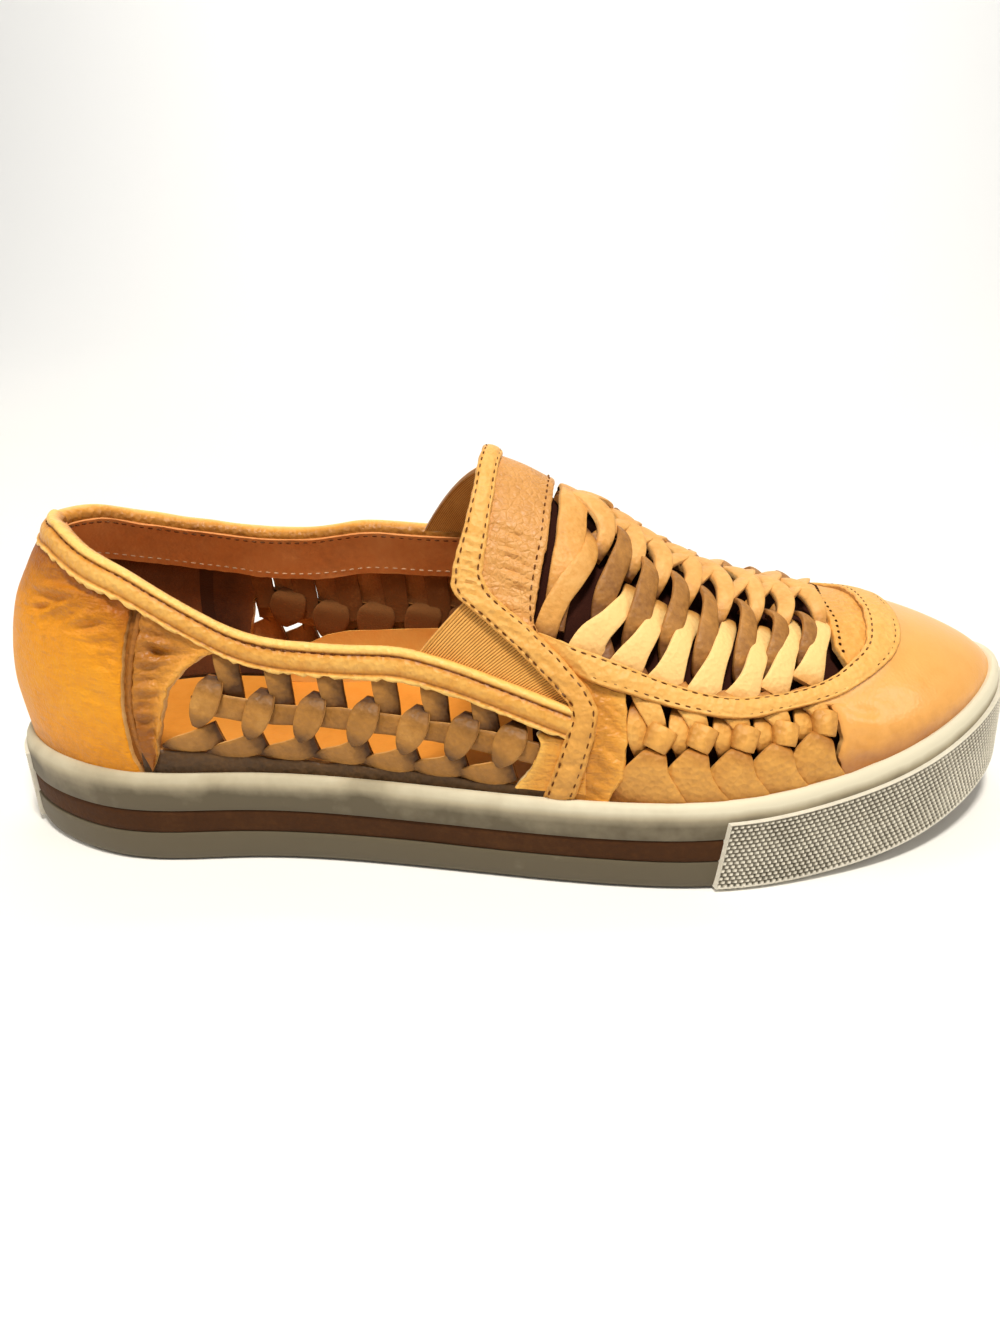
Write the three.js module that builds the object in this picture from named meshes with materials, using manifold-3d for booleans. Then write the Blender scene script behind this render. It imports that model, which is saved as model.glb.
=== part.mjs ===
// A woven leather slip-on shoe for the right foot: millimetres, +Z up, toe towards +X,
// inner (medial) side of the foot towards +Y, outer (lateral) side towards -Y.
import * as THREE from "three";
import { mergeVertices } from "three/addons/utils/BufferGeometryUtils.js";
import Module from "manifold-3d";

const wasm = await Module();
wasm.setup();

// Driving dimensions
const SHOE_LENGTH = 280;
const BALL_WIDTH = 100;
const SOLE_HEIGHT = 27;
const TOE_SPRING = 11;
const HEEL_LIFT = 1.5;
const INSTEP_HEIGHT = 100;
const RIM_WIDTH = 4;
const RIM_LIP = 3;
const FOOT_DEPTH = 4;
const UPPER_WALL = 1.8;
const OVERLAY_LEATHER = 1.3;
const STRAP_LEATHER = 1.6;
const STRIP_RISE = 1.3;
const GORE_THICKNESS = 1.2;
const INSOLE_THICKNESS = 3;
const BAND_WIDTH = 8;
const BUMPER_RUBBER = 1.4;
const STRIPE_THICKNESS = 1.2;
const TREAD_DEPTH = 2;
const TREAD_PITCH = 11;
const TREAD_GROOVE = 3;
const TREAD_REACH = 0.72;
const TREAD_ZONES = [
  { from: 0.1, to: 0.3 },
  { from: 0.5, to: 0.72 },
];
const CLEARANCE = 0.3;
const OVERLAY_CLEARANCE = 0.45;
const TOE_CAP_CLEARANCE = 0.7;
// Kept free below the collar's band, and above the rim at the foot of a petal and of the seam
const BAND_MARGIN = 2;
const PETAL_FOOT = 3.5;
const SEAM_FOOT = 1;

// Sole outline from heel to toe: at = share of the length, half = share of half the ball width,
// centre = how far the middle is to the inner side, as a share of half the ball width.
// The two end rows give the roundness of heel and toe.
const PLAN = [
  { at: 0.0, half: 1.22, centre: 0.0 },
  { at: 0.06, half: 0.555, centre: 0.0 },
  { at: 0.14, half: 0.755, centre: -0.01 },
  { at: 0.25, half: 0.755, centre: -0.02 },
  { at: 0.38, half: 0.765, centre: -0.06 },
  { at: 0.5, half: 0.86, centre: -0.08 },
  { at: 0.62, half: 0.965, centre: -0.075 },
  { at: 0.71, half: 1.0, centre: -0.04 },
  { at: 0.8, half: 0.925, centre: 0.015 },
  { at: 0.88, half: 0.775, centre: 0.065 },
  { at: 0.95, half: 0.52, centre: 0.14 },
  { at: 1.0, half: 1.16, centre: 0.2 },
];
// Top edge of the sole: at = share of the length, height = share of the sole height.
const RIM = [
  { at: 0.0, height: 1.0 },
  { at: 0.25, height: 0.94 },
  { at: 0.5, height: 0.87 },
  { at: 0.72, height: 0.89 },
  { at: 0.88, height: 0.98 },
  { at: 1.0, height: 1.02 },
];
// Sections of the last from heel to toe: crest = share of the instep height, box = how square
// the section is (2 is an ellipse), skew = lean of the crest to the inner side.
const LAST = [
  { at: 0.0, crest: 1.08, box: 1.6, skew: 0.0 },
  { at: 0.15, crest: 1.09, box: 1.65, skew: 0.0 },
  { at: 0.3, crest: 1.09, box: 1.72, skew: 0.04 },
  { at: 0.42, crest: 1.05, box: 1.78, skew: 0.08 },
  { at: 0.5, crest: 0.985, box: 1.82, skew: 0.1 },
  { at: 0.56, crest: 0.905, box: 1.86, skew: 0.1 },
  { at: 0.63, crest: 0.765, box: 1.94, skew: 0.1 },
  { at: 0.7, crest: 0.655, box: 2.02, skew: 0.09 },
  { at: 0.78, crest: 0.585, box: 2.1, skew: 0.08 },
  { at: 0.86, crest: 0.555, box: 2.16, skew: 0.06 },
  { at: 0.94, crest: 0.53, box: 2.2, skew: 0.03 },
  { at: 1.0, crest: 0.5, box: 2.2, skew: 0.0 },
];
// Side view of the heel's back edge: height = share of the instep height,
// forward = share of the length by which the back leans forward there.
const HEEL_BACK = [
  { height: 0.0, forward: 0.007 },
  { height: 0.22, forward: 0.002 },
  { height: 0.4, forward: -0.007 },
  { height: 0.6, forward: 0.002 },
  { height: 0.78, forward: 0.036 },
  { height: 0.875, forward: 0.061 },
  { height: 1.3, forward: 0.13 },
];
// Where the toe begins to close, the roundness of its nose, and the bulge above the rim
const TOE_START = 0.78;
const TOE_ROUND = 2.3;
const WALL_BULGE = 0.03;
const BULGE_REACH = 1.5;
const LEAN_END = 0.25;
const SPRING_START = 0.72;
const HEEL_LIFT_END = 0.06;

// Collar seen from the side: at = share of the length, outer and inner = height of the edge on
// each side of the foot, as shares of the instep height.
const COLLAR = [
  { at: -0.05, outer: 0.868, inner: 0.868 },
  { at: 0.05, outer: 0.868, inner: 0.868 },
  { at: 0.095, outer: 0.868, inner: 0.848 },
  { at: 0.125, outer: 0.825, inner: 0.812 },
  { at: 0.17, outer: 0.775, inner: 0.775 },
  { at: 0.235, outer: 0.67, inner: 0.742 },
  { at: 0.265, outer: 0.625, inner: 0.735 },
  { at: 0.3, outer: 0.598, inner: 0.735 },
  { at: 0.36, outer: 0.586, inner: 0.758 },
  { at: 0.42, outer: 0.586, inner: 0.735 },
  { at: 0.467, outer: 0.554, inner: 0.722 },
  { at: 0.526, outer: 0.5, inner: 0.705 },
  { at: 0.57, outer: 0.457, inner: 0.7 },
];
// Throat: the saddle strap from the outer rim up to the crest. across = share of the way over
// the upper (0 is the outer rim, 1 the inner rim), back and front = shares of the length.
const SADDLE = [
  { across: 0.0, back: 0.542, front: 0.571 },
  { across: 0.054, back: 0.557, front: 0.584 },
  { across: 0.098, back: 0.568, front: 0.593 },
  { across: 0.12, back: 0.573, front: 0.596 },
  { across: 0.135, back: 0.57, front: 0.597 },
  { across: 0.156, back: 0.55, front: 0.589 },
  { across: 0.182, back: 0.522, front: 0.567 },
  { across: 0.208, back: 0.489, front: 0.538 },
  { across: 0.222, back: 0.47, front: 0.517 },
  { across: 0.234, back: 0.465, front: 0.502 },
  { across: 0.253, back: 0.467, front: 0.494 },
  { across: 0.307, back: 0.477, front: 0.499 },
  { across: 0.365, back: 0.484, front: 0.503 },
  { across: 0.5, back: 0.49, front: 0.508 },
];
// Free edge of each elastic gore: where it leaves the collar, and how high it meets the strap
const GORE = {
  outer: { freeAt: 0.426, topAcross: 0.222 },
  inner: { freeAt: 0.412, topAcross: 0.4 },
};
// Front edge of the plain instep panel
const INSTEP_PANEL = [
  { across: 0.215, front: 0.54 },
  { across: 0.28, front: 0.547 },
  { across: 0.33, front: 0.553 },
  { across: 0.42, front: 0.557 },
  { across: 0.5, front: 0.559 },
];
// The stitched apron ring round the vamp weave, from the strap to the middle of the toe
const APRON = [
  { inAt: 0.551, inAcross: 0.205, outAt: 0.583, outAcross: 0.168 },
  { inAt: 0.575, inAcross: 0.202, outAt: 0.6, outAcross: 0.165 },
  { inAt: 0.605, inAcross: 0.202, outAt: 0.623, outAcross: 0.165 },
  { inAt: 0.649, inAcross: 0.198, outAt: 0.672, outAcross: 0.161 },
  { inAt: 0.707, inAcross: 0.192, outAt: 0.725, outAcross: 0.158 },
  { inAt: 0.742, inAcross: 0.198, outAt: 0.762, outAcross: 0.17 },
  { inAt: 0.795, inAcross: 0.218, outAt: 0.812, outAcross: 0.188 },
  { inAt: 0.829, inAcross: 0.263, outAt: 0.85, outAcross: 0.23 },
  { inAt: 0.848, inAcross: 0.311, outAt: 0.875, outAcross: 0.282 },
  { inAt: 0.856, inAcross: 0.367, outAt: 0.889, outAcross: 0.35 },
  { inAt: 0.86, inAcross: 0.425, outAt: 0.894, outAcross: 0.42 },
  { inAt: 0.861, inAcross: 0.48, outAt: 0.895, outAcross: 0.48 },
];
const APRON_AXIS = 0.48;
// Back edge of the plain toe cap below the apron ring, and of the heel counter
const TOE_CAP_BACK = 0.817;
const COUNTER_SEAM = [
  { across: 0.0, at: 0.164 },
  { across: 0.05, at: 0.15 },
  { across: 0.1, at: 0.148 },
  { across: 0.15, at: 0.153 },
  { across: 0.21, at: 0.164 },
];
const COUNTER_SEAM_WIDTH = 2.6;
const COUNTER_GAP = 1;
const SEAM_OFFSET = 0.011;
const SEAM_STOP = 0.035;
// Side of the sole from the floor to the rim: up = share of the side's height,
// inset = how far it draws in, as a share of the rim's width.
const SIDE_PROFILE = [
  { up: 0.0, inset: 0.3 },
  { up: 0.05, inset: 0.075 },
  { up: 0.12, inset: 0.0 },
  { up: 0.82, inset: 0.0 },
  { up: 0.91, inset: 0.125 },
  { up: 1.0, inset: 0.5 },
];
const STRIPE_LOW = 0.34;
const STRIPE_HIGH = 0.6;
const STRIPE_END = 0.7035;
const BUMPER_START = 0.705;
const BUMPER_LOW = 0.04;
const BUMPER_HIGH = 0.8;
const HEEL_PATCH_END = 0.022;

// Weave of the quarter, below the collar: seven loops over one weft
const QUARTER = { first: 0.224, pitch: 0.0484, count: 7, back: 0.186, front: 0.54 };
const INNER_WEAVE_LIFT = 0.012;
const QUARTER_WEFT = [
  { at: 0.18, across: 0.108 },
  { at: 0.224, across: 0.104 },
  { at: 0.274, across: 0.088 },
  { at: 0.35, across: 0.083 },
  { at: 0.45, across: 0.078 },
  { at: 0.54, across: 0.077 },
];
// Strips are listed from each loop over the weft: along and across = offsets as shares,
// rise = share of the strip's rise, width = share of its width. Gaps are listed by their corners.
const WEFT_STRIP = { rise: 0.45, width: 1 };
const QUARTER_LOOP = [
  { along: -0.002, across: 0.028, rise: 0.4, width: 0.7 },
  { along: 0.0, across: 0.0, rise: 1.0, width: 1.0 },
  { along: 0.005, across: -0.026, rise: 0.3, width: 0.6 },
];
const QUARTER_LOW_GAP = [
  { along: 0.008, across: -0.036 },
  { along: 0.026, across: -0.044 },
  { along: 0.026, across: -0.022 },
  { along: 0.012, across: -0.02 },
];
const QUARTER_HIGH_GAP = [
  { along: -0.017, across: 0.012 },
  { along: -0.006, across: 0.014 },
  { along: -0.006, across: 0.034 },
  { along: -0.014, across: 0.03 },
];
// Weave of the forefoot's side, below the apron ring
const FOREFOOT = { first: 0.65, pitch: 0.037, count: 5, weft: 0.118 };
const FOREFOOT_PETAL = {
  foot: { along: -0.006, rise: 0.6, width: 1.0 },
  tip: { along: 0.002, across: -0.022, rise: 1.0, width: 0.7 },
};
const FOREFOOT_LOOP = [
  { along: -0.011, across: -0.002, rise: 0.8, width: 1.0 },
  { along: 0.011, across: -0.002, rise: 0.8, width: 1.0 },
];
const FOREFOOT_HIGH_GAP = [
  { along: -0.001, across: 0.018 },
  { along: 0.013, across: 0.018 },
  { along: 0.011, across: 0.034 },
  { along: 0.001, across: 0.034 },
];
const FOREFOOT_LOW_GAP = [
  { along: 0.013, across: -0.052 },
  { along: 0.02, across: -0.046 },
  { along: 0.018, across: -0.014 },
  { along: 0.01, across: -0.016 },
];
// Weave of the vamp, inside the apron ring. Its leaves are listed at the throat and at the toe:
// top and tip = where a leaf begins and ends, ring = the apron ring's inner edge, all across.
const VAMP = { first: 0.602, pitch: 0.0323, count: 7 };
const VAMP_THROAT = { top: 0.44, tip: 0.262, ring: 0.212 };
const VAMP_TOE = { top: 0.43, tip: 0.3, ring: 0.245 };
const VAMP_LEAF = [
  { along: 0.012, down: 0.0, rise: 0.5, width: 0.8 },
  { along: 0.008, down: 0.4, rise: 1.0, width: 1.0 },
  { along: 0.0, down: 1.0, rise: 0.3, width: 0.5 },
];
// Corners of the vamp's gaps, across from the ring, the leaf's tip or its top
const VAMP_LOW_GAP = [
  { along: 0.005, from: "ring", across: 0.012 },
  { along: 0.014, from: "ring", across: 0.006 },
  { along: 0.018, from: "tip", across: -0.004 },
  { along: 0.01, from: "tip", across: -0.002 },
];
const VAMP_HIGH_GAP = [
  { along: 0.021, from: "tip", across: 0.04 },
  { along: 0.032, from: "tip", across: 0.05 },
  { along: 0.03, from: "top", across: -0.02 },
  { along: 0.024, from: "top", across: -0.01 },
];

const LOOP_WIDTH = 8;
const WEFT_WIDTH = 6;
const PETAL_WIDTH = 9.5;
const LEAF_WIDTH = 7.5;

// Where the tab on the toe begins: its first share across, its back edge and how far that is hollow
const TOE_TAB = { from: 0.3, back: 0.822, hollow: 0.01, least: 0.004 };
// Row of the apron's table from which the ring turns round the toe
const RING_TURN = 6;
// Shares of the length by which the collar's band stops short of the strap
const BAND_STOP = 0.012;
// Gaps between neighbouring sheets, in clearances
const PANEL_GAPS = 4;
const TAB_GAPS = 3;
const CAP_GAPS = 5;
const GORE_GAPS = 4;
const GORE_CORNER = 0.006;

// How finely each form is divided, along and across
const LENGTH_STEPS = 30;
const GIRTH_STEPS = 18;
const LINING_LENGTH_STEPS = 20;
const LINING_GIRTH_STEPS = 12;
const SOLE_STEPS = 24;
const WEFT_STEPS = 4;
const SEAM_STEPS = 5;
const STRIPE_STEPS = 22;
const BUMPER_STEPS = 16;
const PATCH_STEPS = 4;
const BAND_STEPS = [40, 1];
const COUNTER_STEPS = [20, 5];
const STRAP_STEPS = [32, 1];
const PANEL_STEPS = [14, 2];
const RING_STEPS = [40, 1];
const TAB_STEPS = [10, 2];
const CAP_STEPS = [20, 6];
const GORE_STEPS = [6, 3];

// Searches: halvings of a range, passes towards the collar's edge, and where they start
const HALVINGS = 30;
const COLLAR_PASSES = 12;
const COLLAR_START = 0.25;
const COLLAR_STEP = 0.02;
const THROAT_RANGE = { low: 0.1, high: 0.3 };
const CORNER_GAP = 0.01;
const MIDDLE = 0.5;

// A natural cubic spline through the named columns of a table
function spline(rows, inputName, outputName) {
  const x = rows.map((row) => row[inputName]);
  const y = rows.map((row) => row[outputName]);
  const n = x.length;
  const curvature = new Array(n).fill(0);
  const sweep = new Array(n).fill(0);
  for (let i = 1; i < n - 1; i++) {
    const part = (x[i] - x[i - 1]) / (x[i + 1] - x[i - 1]);
    const pivot = part * curvature[i - 1] + 2;
    const slopeAfter = (y[i + 1] - y[i]) / (x[i + 1] - x[i]);
    const slopeBefore = (y[i] - y[i - 1]) / (x[i] - x[i - 1]);
    curvature[i] = (part - 1) / pivot;
    sweep[i] = ((6 * (slopeAfter - slopeBefore)) / (x[i + 1] - x[i - 1]) - part * sweep[i - 1]) / pivot;
  }
  for (let i = n - 2; i >= 0; i--) curvature[i] = curvature[i] * curvature[i + 1] + sweep[i];
  return (value) => {
    let i = 0;
    while (i < n - 2 && value > x[i + 1]) i++;
    const gap = x[i + 1] - x[i];
    const after = (value - x[i]) / gap;
    const before = 1 - after;
    const bend = (before ** 3 - before) * curvature[i] + (after ** 3 - after) * curvature[i + 1];
    return before * y[i] + after * y[i + 1] + (bend * gap * gap) / 6;
  };
}

// Straight lines through the named columns of a table
function polyline(rows, inputName, outputName) {
  return (value) => {
    let i = 0;
    while (i < rows.length - 2 && value > rows[i + 1][inputName]) i++;
    const share = (value - rows[i][inputName]) / (rows[i + 1][inputName] - rows[i][inputName]);
    return THREE.MathUtils.lerp(rows[i][outputName], rows[i + 1][outputName], share);
  };
}

const clamp = THREE.MathUtils.clamp;
const lerp = THREE.MathUtils.lerp;
// Rounds a row of shares off at both ends: 0 at heel and toe, 1 halfway
const roundEnds = (at) => 2 * Math.sqrt(Math.max(at * (1 - at), 0));
// Spreads even steps so that they lie closer together at heel and toe
const spread = (share) => (1 - Math.cos(Math.PI * share)) / 2;
const unspread = (at) => Math.acos(clamp(1 - 2 * at, -1, 1)) / Math.PI;

const planShape = PLAN.map(({ at, half, centre }) => ({ at, centre, shape: half / (roundEnds(at) || 1) }));
const outlineShape = spline(planShape, "at", "shape");
const outlineCentre = spline(planShape, "at", "centre");
const rimShare = spline(RIM, "at", "height");
const crestShare = spline(LAST, "at", "crest");
const boxiness = spline(LAST, "at", "box");
const skewShare = spline(LAST, "at", "skew");
const heelBack = spline(HEEL_BACK, "height", "forward");
const collarEdge = { outer: polyline(COLLAR, "at", "outer"), inner: polyline(COLLAR, "at", "inner") };

// Half width of the sole at a share of its length, drawn in by an inset
function halfWidth(at, inset) {
  const rounded = roundEnds(at);
  return Math.max((BALL_WIDTH / 2) * outlineShape(at) * rounded - inset * Math.sqrt(rounded), 0);
}

function centreLine(at) {
  return (BALL_WIDTH / 2) * outlineCentre(at);
}

// Height of the sole's underside: flat from heel to ball, lifted at the toe
function underside(at) {
  const toe = clamp((at - SPRING_START) / (1 - SPRING_START), 0, 1);
  const heel = clamp(1 - at / HEEL_LIFT_END, 0, 1);
  return TOE_SPRING * toe ** 2 + HEEL_LIFT * heel ** 2;
}

function rimHeight(at) {
  const toe = clamp((at - SPRING_START) / (1 - SPRING_START), 0, 1);
  return SOLE_HEIGHT * rimShare(at) + TOE_SPRING * toe ** 2;
}

// A point of the last: at runs from heel to toe, across from the outer rim over the crest
// to the inner rim.
function lastPoint(at, across) {
  const alongSole = RIM_WIDTH + at * (SHOE_LENGTH - 2 * RIM_WIDTH);
  const soleShare = alongSole / SHOE_LENGTH;
  const feather = rimHeight(soleShare) - RIM_LIP;
  const toe = clamp((at - TOE_START) / (1 - TOE_START), 0, 1);
  const dome = Math.sqrt(Math.max(1 - toe ** TOE_ROUND, 0));
  const height = (INSTEP_HEIGHT * crestShare(at) - feather) * dome;
  const angle = Math.PI * across;
  const power = 2 / boxiness(at);
  const sideways = -Math.sign(Math.cos(angle)) * Math.abs(Math.cos(angle)) ** power;
  const up = Math.abs(Math.sin(angle)) ** power;
  const bulge = 1 + WALL_BULGE * Math.sin(Math.PI * clamp(BULGE_REACH * up, 0, 1));
  const z = feather + height * up;
  const lean = SHOE_LENGTH * heelBack(z / INSTEP_HEIGHT) * clamp(1 - at / LEAN_END, 0, 1) ** 2;
  const skew = (BALL_WIDTH / 2) * skewShare(at) * up;
  const y = centreLine(soleShare) + halfWidth(at, RIM_WIDTH) * sideways * bulge + skew;
  return new THREE.Vector3(alongSole + lean, y, z);
}

// Outward normal of the last, by small steps along and across
const SMALL_STEP = 1e-4;
function lastNormal(at, across) {
  const acrossLow = Math.max(across - SMALL_STEP, 0);
  const acrossHigh = Math.min(across + SMALL_STEP, 1);
  if (at >= 1) return new THREE.Vector3(1, 0, 0);
  const over = lastPoint(at, acrossHigh).sub(lastPoint(at, acrossLow)).normalize();
  if (at <= 0) {
    const back = new THREE.Vector3(-1, 0, 0);
    return back.addScaledVector(over, -back.dot(over)).normalize();
  }
  const share = unspread(at);
  const ahead = lastPoint(spread(Math.min(share + SMALL_STEP, 1)), across);
  const behind = lastPoint(spread(Math.max(share - SMALL_STEP, 0)), across);
  return over.cross(ahead.sub(behind)).normalize().negate();
}

// A point raised off the last by a distance along its normal
function skin(at, across, raised) {
  return lastPoint(at, across).addScaledVector(lastNormal(at, across), raised);
}

// A closed solid from triangles given as corner points
function solid(corners) {
  const positions = new Float32Array(corners.flatMap((corner) => corner.toArray()));
  const loose = new THREE.BufferGeometry();
  loose.setAttribute("position", new THREE.BufferAttribute(positions, 3));
  const merged = mergeVertices(loose, 1e-4);
  const index = [...merged.index.array];
  const kept = [];
  for (let i = 0; i < index.length; i += 3) {
    const [a, b, c] = index.slice(i, i + 3);
    if (a !== b && b !== c && c !== a) kept.push(a, b, c);
  }
  const vertProperties = merged.getAttribute("position").array;
  const build = (triangles) =>
    new wasm.Manifold(new wasm.Mesh({ numProp: 3, vertProperties, triVerts: new Uint32Array(triangles) }));
  const body = build(kept);
  return body.volume() < 0 ? build(kept.reverse()) : body;
}

function quad(corners, a, b, c, d) {
  corners.push(a, b, c, a, c, d);
}

// Joins closed loops of equal length into a tube, without end faces
function tube(loops) {
  const corners = [];
  for (let i = 0; i < loops.length - 1; i++) {
    const here = loops[i];
    const next = loops[i + 1];
    for (let j = 0; j < here.length; j++) {
      const k = (j + 1) % here.length;
      quad(corners, here[j], here[k], next[k], next[j]);
    }
  }
  return corners;
}

// The last raised by a distance, as a closed body that goes down into the sole
function lastForm(raised, depth, lengthSteps, girthSteps) {
  const loops = [];
  for (let i = 0; i <= lengthSteps; i++) {
    const at = spread(i / lengthSteps);
    const loop = [];
    for (let j = 0; j <= girthSteps; j++) loop.push(skin(at, j / girthSteps, raised));
    const outerFoot = loop[0].clone();
    const innerFoot = loop[girthSteps].clone();
    outerFoot.z -= depth;
    innerFoot.z -= depth;
    loops.push([outerFoot, ...loop, innerFoot]);
  }
  return solid(tube(loops));
}

// A sheet of leather: place(u, v) gives the share along and across, low and high its two faces
function sheet([uSteps, vSteps], place, low, high) {
  const grid = (raised) => {
    const rows = [];
    for (let i = 0; i <= uSteps; i++) {
      const row = [];
      for (let j = 0; j <= vSteps; j++) row.push(skin(...place(i / uSteps, j / vSteps), raised));
      rows.push(row);
    }
    return rows;
  };
  const top = grid(high);
  const bottom = grid(low);
  const corners = [];
  for (let i = 0; i < uSteps; i++) {
    for (let j = 0; j < vSteps; j++) {
      quad(corners, top[i][j], top[i + 1][j], top[i + 1][j + 1], top[i][j + 1]);
      quad(corners, bottom[i][j], bottom[i][j + 1], bottom[i + 1][j + 1], bottom[i + 1][j]);
    }
    quad(corners, bottom[i][0], bottom[i + 1][0], top[i + 1][0], top[i][0]);
    quad(corners, top[i][vSteps], top[i + 1][vSteps], bottom[i + 1][vSteps], bottom[i][vSteps]);
  }
  for (let j = 0; j < vSteps; j++) {
    quad(corners, top[0][j], top[0][j + 1], bottom[0][j + 1], bottom[0][j]);
    quad(corners, bottom[uSteps][j], bottom[uSteps][j + 1], top[uSteps][j + 1], top[uSteps][j]);
  }
  return solid(corners);
}

// A flat polygon (x, z) drawn out sideways from one y to another
function sideways(points, fromY, toY) {
  const near = points.map(([x, z]) => new THREE.Vector3(x, fromY, z));
  const far = points.map(([x, z]) => new THREE.Vector3(x, toY, z));
  const corners = tube([near, far]);
  const faces = THREE.ShapeUtils.triangulateShape(points.map(([x, z]) => new THREE.Vector2(x, z)), []);
  for (const [a, b, c] of faces) corners.push(near[c], near[b], near[a], far[a], far[b], far[c]);
  return solid(corners);
}

// The same place on the other side of an axis that lies at a share across
const reflected = (across, axis) => (axis ? 2 * axis - across : across);

// A hole through the wall with its corners given as shares along and across
function hole(places, axis) {
  const reach = UPPER_WALL + STRIP_RISE;
  const ring = (raised) => places.map(([at, across]) => skin(at, reflected(across, axis), raised));
  const inside = ring(-2 * reach);
  const outside = ring(reach);
  const corners = tube([inside, outside]);
  for (let i = 1; i < places.length - 1; i++) {
    corners.push(inside[0], inside[i + 1], inside[i], outside[0], outside[i], outside[i + 1]);
  }
  return solid(corners);
}

// A raised leather strip along a path of [along, across, rise share], tapered by width shares
function strip(path, width, axis) {
  const loops = path.map(([at, across, rise, widthShare], index) => {
    const side = reflected(across, axis);
    const before = path[Math.max(index - 1, 0)];
    const after = path[Math.min(index + 1, path.length - 1)];
    const ahead = lastPoint(after[0], reflected(after[1], axis));
    const behind = lastPoint(before[0], reflected(before[1], axis));
    const normal = lastNormal(at, side);
    const sidestep = ahead.sub(behind).cross(normal).normalize();
    const middle = lastPoint(at, side);
    const corner = (sideShare, raised) =>
      middle
        .clone()
        .addScaledVector(sidestep, (sideShare * width * widthShare) / 2)
        .addScaledVector(normal, raised);
    const low = -UPPER_WALL / 2;
    const high = STRIP_RISE * rise;
    return [corner(-1, low), corner(1, low), corner(1, high), corner(-1, high)];
  });
  const corners = tube(loops);
  const first = loops[0];
  const last = loops[loops.length - 1];
  quad(corners, first[3], first[2], first[1], first[0]);
  quad(corners, last[0], last[1], last[2], last[3]);
  return solid(corners);
}

// Share across at which the last passes a height, on the outer or the inner side
function acrossAtHeight(at, height, inner) {
  let low = 0;
  let high = MIDDLE;
  for (let i = 0; i < HALVINGS; i++) {
    const middle = (low + high) / 2;
    if (lastPoint(at, inner ? 1 - middle : middle).z < height) low = middle;
    else high = middle;
  }
  return inner ? 1 - low : low;
}

// Share across at a distance above the sole's rim
function aboveRim(at, distance) {
  const along = RIM_WIDTH + at * (SHOE_LENGTH - 2 * RIM_WIDTH);
  return acrossAtHeight(at, rimHeight(along / SHOE_LENGTH) + distance, false);
}

// Share across of the collar's edge; the collar table is laid along the shoe's own length
function collarAcross(at, inner) {
  const edge = inner ? collarEdge.inner : collarEdge.outer;
  let across = inner ? 1 - COLLAR_START : COLLAR_START;
  for (let i = 0; i < COLLAR_PASSES; i++) {
    const height = INSTEP_HEIGHT * edge(lastPoint(at, across).x / SHOE_LENGTH);
    across = acrossAtHeight(at, height, inner);
  }
  return across;
}

// Moves down from the collar's edge by a distance, measured on the last
function belowCollar(at, inner, distance) {
  const edge = collarAcross(at, inner);
  const step = inner ? COLLAR_STEP : -COLLAR_STEP;
  const length = lastPoint(at, edge).distanceTo(lastPoint(at, edge + step));
  return edge + (step * distance) / length;
}

const saddleBack = polyline(SADDLE, "across", "back");
const saddleFront = polyline(SADDLE, "across", "front");
const panelFront = polyline(INSTEP_PANEL, "across", "front");
// Highest share across that stays clear below the collar's band, on the outer side's scale
const underBand = (at) => Math.min(...SIDES.map((inner) => fold(belowCollar(at, inner, BAND_WIDTH + BAND_MARGIN))));
const counterSeam = polyline(COUNTER_SEAM, "across", "at");
const quarterWeft = spline(QUARTER_WEFT, "at", "across");
const fold = (across) => (across > MIDDLE ? 1 - across : across);
const alongGap = CLEARANCE / (SHOE_LENGTH - 2 * RIM_WIDTH);
const SIDES = [false, true];

// Where the saddle strap's back edge meets the collar, as a share across
function throatCorner(inner) {
  let { low, high } = THROAT_RANGE;
  for (let i = 0; i < HALVINGS; i++) {
    const middle = (low + high) / 2;
    const point = lastPoint(saddleBack(middle), inner ? 1 - middle : middle);
    const edge = inner ? collarEdge.inner : collarEdge.outer;
    if (point.z < INSTEP_HEIGHT * edge(point.x / SHOE_LENGTH)) low = middle;
    else high = middle;
  }
  return low;
}

// The opening for the foot: what lies above the collar and behind the throat, on one side
function collarCut(inner) {
  const corner = throatCorner(inner);
  const edge = inner ? collarEdge.inner : collarEdge.outer;
  const cornerPoint = lastPoint(saddleBack(corner), inner ? 1 - corner : corner);
  const cornerAt = cornerPoint.x / SHOE_LENGTH;
  const points = COLLAR.filter((row) => row.at < cornerAt - CORNER_GAP).map((row) => [
    row.at * SHOE_LENGTH,
    edge(row.at) * INSTEP_HEIGHT,
  ]);
  const throat = [corner, ...SADDLE.map((row) => row.across).filter((across) => across > corner + CORNER_GAP)];
  for (const across of throat) {
    const point = lastPoint(saddleBack(across), inner ? 1 - across : across);
    points.push([point.x, point.z]);
  }
  const above = 2 * INSTEP_HEIGHT;
  points.push([points[points.length - 1][0], above], [points[0][0], above]);
  return inner ? sideways(points, -CLEARANCE, BALL_WIDTH) : sideways(points, -BALL_WIDTH, CLEARANCE);
}

// Rows of offsets laid out from a place on the last
const stripFrom = (rows, at, across) =>
  rows.map((row) => [at + row.along, across + row.across, row.rise, row.width]);
const gapFrom = (rows, at, across, axis) =>
  hole(
    rows.map((row) => [at + row.along, across + row.across]),
    axis,
  );

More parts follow.
